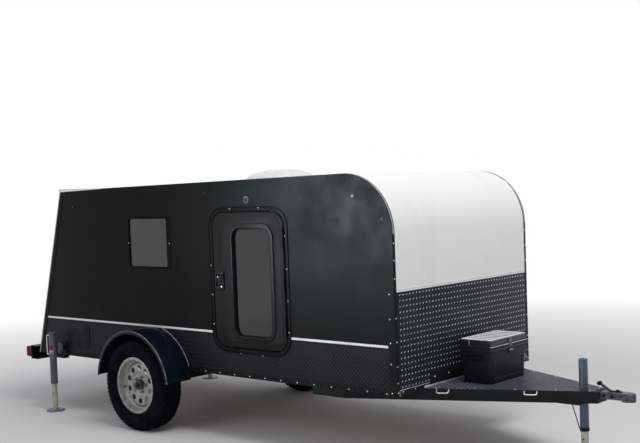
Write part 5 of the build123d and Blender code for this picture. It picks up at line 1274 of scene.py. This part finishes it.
def onRear(depth, size, holes=(), *rims):
    # a rounded plate that faces aft, its front a depth behind the bumper
    outline, *holes = [roundedBox(rear["lampY"], 0, *spot) for spot in (size, *holes)]
    return onPlane(plate(outline, holes, *rims), (rear["faceX"] - depth, 0, rear["z"]), (0, -1, 0), (0, 0, 1))


lampBase = onRear(0.018, (0.130, 0.093, 0.010), (), 0.018, 0.002)
lens = onRear(0.084, (0.122, 0.085, 0.010), (), 0.066, 0.007, 5)
lensRibs = [onRear(0.018 + depth, (0.1232, 0.0862, 0.0106), [(0.120, 0.083, 0.009)], 0.003, 0.0008, 1)
            for depth in rear["ribs"]]
finish("lampBases", bothSides(lampBase), [boxPlastic], "trailer", "black_plastic", "tail_lamp_bases")
finish("lampLenses", bothSides(joined(lens, *lensRibs)), [redLens], "trailer", "red_lens", "tail_lamp_lenses")
marker = {"places": ((0.294, 1.669), (3.193, 1.646))}
markerParts = []
for number, (aft, z) in enumerate(marker["places"]):
    body = lathe([(0, 0), (0, 0.012), (0.0035, 0.0118), (0.0042, 0.0106), (0.0042, 0.01)], 24)
    dome = lathe([(0.0042, 0.0104), (0.009, 0.0094), (0.0125, 0.0078), (0.015, 0.0048), (0.0158, 0)], 24)
    markerParts.append(outOfSide(joined(body, slotted(dome, 1 + number)), frontX - aft, skinFace, z))
finish("markerLamps", bothSides(joined(*markerParts)), [darkTrim, clearLens, smokeLens], "trailer",
       "amber_lens", "marker_lamps")
porchBase = lathe([(0, 0), (0, 0.024), (0.006, 0.024), (0.008, 0.022), (0.008, 0.018)], 32)
porchDome = lathe([(0.008, 0.0182), (0.012, 0.0165), (0.014, 0.012), (0.0145, 0)], 32)
finish("porchLamps", bothSides(outOfSide(joined(porchBase, slotted(porchDome, 1)), 0.1725, skinFace, 1.666)),
       [porchRing, smokeLens], "trailer", "porch_lens", "porch_lamps")
hatch = {"x": frontX - 3.1395, "z": 0.610, "ring": (0.155, 0.185, 0.020), "hole": (0.133, 0.163, 0.009),
         "door": (0.131, 0.161, 0.008), "screws": ((0.742, 1.665), (1.655, 1.725))}
hatchDoor = onSide(plate(boxLoop(hatch, *hatch["door"]), (), 0.003, 0.0010), trimFace)
hatchRing = onSide(plate(boxLoop(hatch, *hatch["ring"]), [boxLoop(hatch, *hatch["hole"])], 0.004, 0.0015),
                   0.768)
fitting = lathe([(0, 0), (0, 0.01), (0.002, 0.0098), (0.004, 0.007), (0.009, 0.006), (0.011, 0.004),
                 (0.011, 0)], 20)
wallScrews = screwsAt([(frontX - aft, z) for aft, z in hatch["screws"]], 0.004, 0.0018)
finish("accessHatches", bothSides(joined(hatchDoor, hatchRing,
                                         slotted(outOfSide(fitting, frontX - 0.069, trimFace, 1.524), 2),
                                         slotted(onSide(wallScrews, skinFace), 2))),
       [darkTrim, screwMetal, wornPaint], "trailer", "black_trim")
print("lamps and fittings")

# ---- rear stabilizer jacks: tube with two blank stickers, swivel, crank and leg
stab = {"x": -2.0475, "y": 0.850, "legRadius": 0.021, "pivotX": -2.0205, "pivotZ": 0.512, "crankZ": 0.612,
        "crankX": -2.124, "drop": 0.156, "handle": 0.026, "crankRod": 0.005, "stickerRadius": 0.02875,
        "stickers": ((0.470, 0.494, 1), (0.500, 0.540, 3))}
stabProfile = [(0.222, 0.0213), (0.222, 0.0275), (0.2235, 0.0285), (0.636, 0.0285), (0.636, 0.0312),
               (0.6368, 0.0315), (0.6405, 0.0315), (0.642, 0.0302), (0.642, 0), (0.63, 0), (0.63, 0.0213)]
swivelProfile = [(0.038, 0.01605), (0.038, 0.044), (0.0395, 0.046), (0.0625, 0.046), (0.064, 0.0445),
                 (0.064, 0.03), (0.0625, 0.0285), (0.0625, 0), (0.058, 0), (0.058, 0.01605)]
stickerArc = [around(stab["x"], -stab["y"], stab["stickerRadius"], math.radians(turn))
              for turn in range(-150, -29, 10)]
stickers = bmesh.new()
for low, high, index in stab["stickers"]:
    rows = [[stickers.verts.new((*point, z)) for point in stickerArc] for z in (low, high)]
    for k in range(len(stickerArc) - 1):
        face = stickers.faces.new((rows[0][k], rows[0][k + 1], rows[1][k + 1], rows[1][k]))
        face.smooth, face.material_index = True, index
swivel = outOfSide(lathe(swivelProfile, 48, closed=True), stab["pivotX"], coreFace, stab["pivotZ"])
crankLow = stab["crankZ"] - stab["drop"]
crankPath = [(stab["x"] - 0.024, stab["crankZ"]), (stab["crankX"], stab["crankZ"]),
             (stab["crankX"], crankLow), (stab["crankX"] + stab["handle"], crankLow)]
crank = rod([(x, -stab["y"], z) for x, z in crankPath], stab["crankRod"], bend=0.012)
finishPair("stabilizer",
           joined(moved(lathe(stabProfile, 48), stab["x"], -stab["y"]), stickers, swivel, slotted(crank, 2)),
           [greyPaint, stickerWhite, brightRod, stickerRed], "stabilizer_{}", "grey_steel", "stabilizer_{}")
finishPair("stabilizerLeg", jackLeg(stab["x"], -stab["y"], stab["legRadius"], 0.382), [zincLeg, blackSteel],
           "stabilizer_leg_{}", "galvanised_steel", "stabilizer_leg_{}")
print("stabilizers")

# ---- domed lid of the roof vent, a hollow shell with two hinge straps
vent = {"aft": 1.634, "half": 0.198, "corner": 0.060, "low": 0.0063, "skirt": 0.022, "rise": 0.0594,
        "wall": 0.004, "steps": 11, "strapY": 0.1188, "hingeX": 0.209, "hingeZ": 0.012}


def ventRings(inset):
    # from the rim up to the top
    rings = []
    for step in range(vent["steps"] + 1):
        turn = math.radians(84 * step / vent["steps"])
        share = math.cos(turn) ** 0.8
        rise = vent["skirt"] + (vent["rise"] - inset) * math.sin(turn) ** 1.333
        width = 2 * (vent["half"] * share - inset)
        outline = roundedBox(0, 0, width, width, max(vent["corner"] * share - inset, 0.004))
        if step == 0:
            rings.append([(*point, vent["low"]) for point in outline])
        rings.append([(*point, rise) for point in outline])
    return rings


ventShell = sweep(ventRings(vent["wall"])[::-1] + ventRings(0))
for face in ventShell.faces:
    face.smooth = True
ventStraps = []
for side in (-vent["strapY"], vent["strapY"]):
    ventStraps.append(moved(bar(0.014, 0.029, 0.002, 0.0005, 1), vent["hingeX"] - 0.0075, side, 0.0065))
    ventStraps.append(rod([(vent["hingeX"], side + along, vent["hingeZ"]) for along in (-0.0145, 0.0145)],
                          0.0055, 12))
finish("ventLid", onPlane(joined(ventShell, slotted(joined(*ventStraps), 1)),
                          (frontX - vent["aft"], 0, roofZ(vent["aft"])), (1, 0, roofFall), (0, 1, 0)),
       [ventPlastic, screwMetal], "vent_lid", "white_plastic", "vent_lid")

# ---- cap along the roof's rear edge
capRear = rearX(shell["roofRearZ"]) - 0.018
roofCap = onTop(plate(roundedBox(capRear + 0.042, 0, 0.084, 1.532, 0.006, 4), (), 0.016, 0.003, 3), 1.7975)
capSides = onSide(plate([(capRear, 1.7975), (capRear + 0.006, 1.7720), (frontX - 3.00, 1.7800),
                         (frontX - 2.78, 1.7858), (frontX - 2.78, 1.7868)], (), 0.004, 0.0006, 1,
                        smoothRims=False), 0.7690)
finish("roofCap", joined(roofCap, bothSides(capSides)), [whiteSheet], "trailer", "white_trim")

# ---- frame and screws on the rear hatch
slant = {"bottomZ": 0.545, "topZ": 1.737, "half": 0.700, "low": 0.020, "width": 0.028, "rows": 6,
         "across": (-0.46, -0.23, 0, 0.23, 0.46)}
slantLength = (slant["topZ"] - slant["bottomZ"]) / math.cos(lean)


def onHatch(bm):
    return onPlane(moved(bm, z=0.003), (rearX(slant["bottomZ"]), 0, slant["bottomZ"]), (0, -1, 0),
                   (math.sin(lean), 0, math.cos(lean)))


def slantRect(grow):
    return rect(-slant["half"] + grow, slant["low"] + grow, slant["half"] - grow,
                slantLength - slant["low"] - grow)


hatchFrame = onHatch(plate(slantRect(0), [slantRect(slant["width"])], 0.003, 0.001))
screwEdge = slant["low"] + slant["width"] / 2
screwRows = [(side * 0.686, screwEdge + (slantLength - 2 * screwEdge) * k / slant["rows"])
             for side in (-1, 1) for k in range(slant["rows"] + 1)]
screwRows += [(x, y) for x in slant["across"] for y in (screwEdge, slantLength - screwEdge)]
finish("hatchEdge", joined(hatchFrame, slotted(onHatch(screwsAt(screwRows)), 1)), [darkTrim, screwMetal],
       "rear_hatch", "black_trim")

# ---- nodes that keep their solids' shapes
solids = {"front_panel": whiteSheet, "roof_panel": whiteSheet, "rear_hatch": blackSheet,
          "rear_sill": blackSheet, "axle": blackSteel, "leaf_springs": blackSteel,
          "chassis_frame": blackSteel, "rear_bumper": blackSteel, "jack_brackets": blackSteel,
          "coupler": couplerPaint, "roof_vent": ventPlastic, "hatch_latch": darkTrim,
          "floor_panel": plywood, "galley_bulkhead": plywood}
for name, material in solids.items():
    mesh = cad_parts[name].data
    mesh.materials.clear()
    mesh.materials.append(material)

# ---- floor of the studio, white further out
floorMesh = bpy.data.meshes.new("studioFloor")
floorMesh.from_pydata([(-60, -60, 0), (60, -60, 0), (60, 60, 0), (-60, 60, 0)], [], [(0, 1, 2, 3)])
studioFloor = bpy.data.objects.new("studioFloor", floorMesh)
scene.collection.objects.link(studioFloor)
floorPaint = newPaint("floorPaint", studio["floorColor"], 0.9, specular=0.1)
floorTree = floorPaint.node_tree
farAway = put(floorTree, "ShaderNodeVectorMath", {0: objectPlace(floorPaint)}, "LENGTH")["Value"]
fade = ranged(floorPaint, farAway, studio["fadeFrom"], studio["fadeTo"])
fadeSeen = mathOf(floorPaint, "MULTIPLY", fade, brightRays(floorTree))
white = put(floorTree, "ShaderNodeEmission", {"Color": (1, 1, 1, 1)})
floorMix = put(floorTree, "ShaderNodeMixShader",
               {"Fac": fadeSeen, 1: floorTree.nodes["Principled BSDF"].outputs[0], 2: white[0]})
floorTree.links.new(floorMix[0], floorTree.nodes["Material Output"].inputs["Surface"])
floorMesh.materials.append(floorPaint)
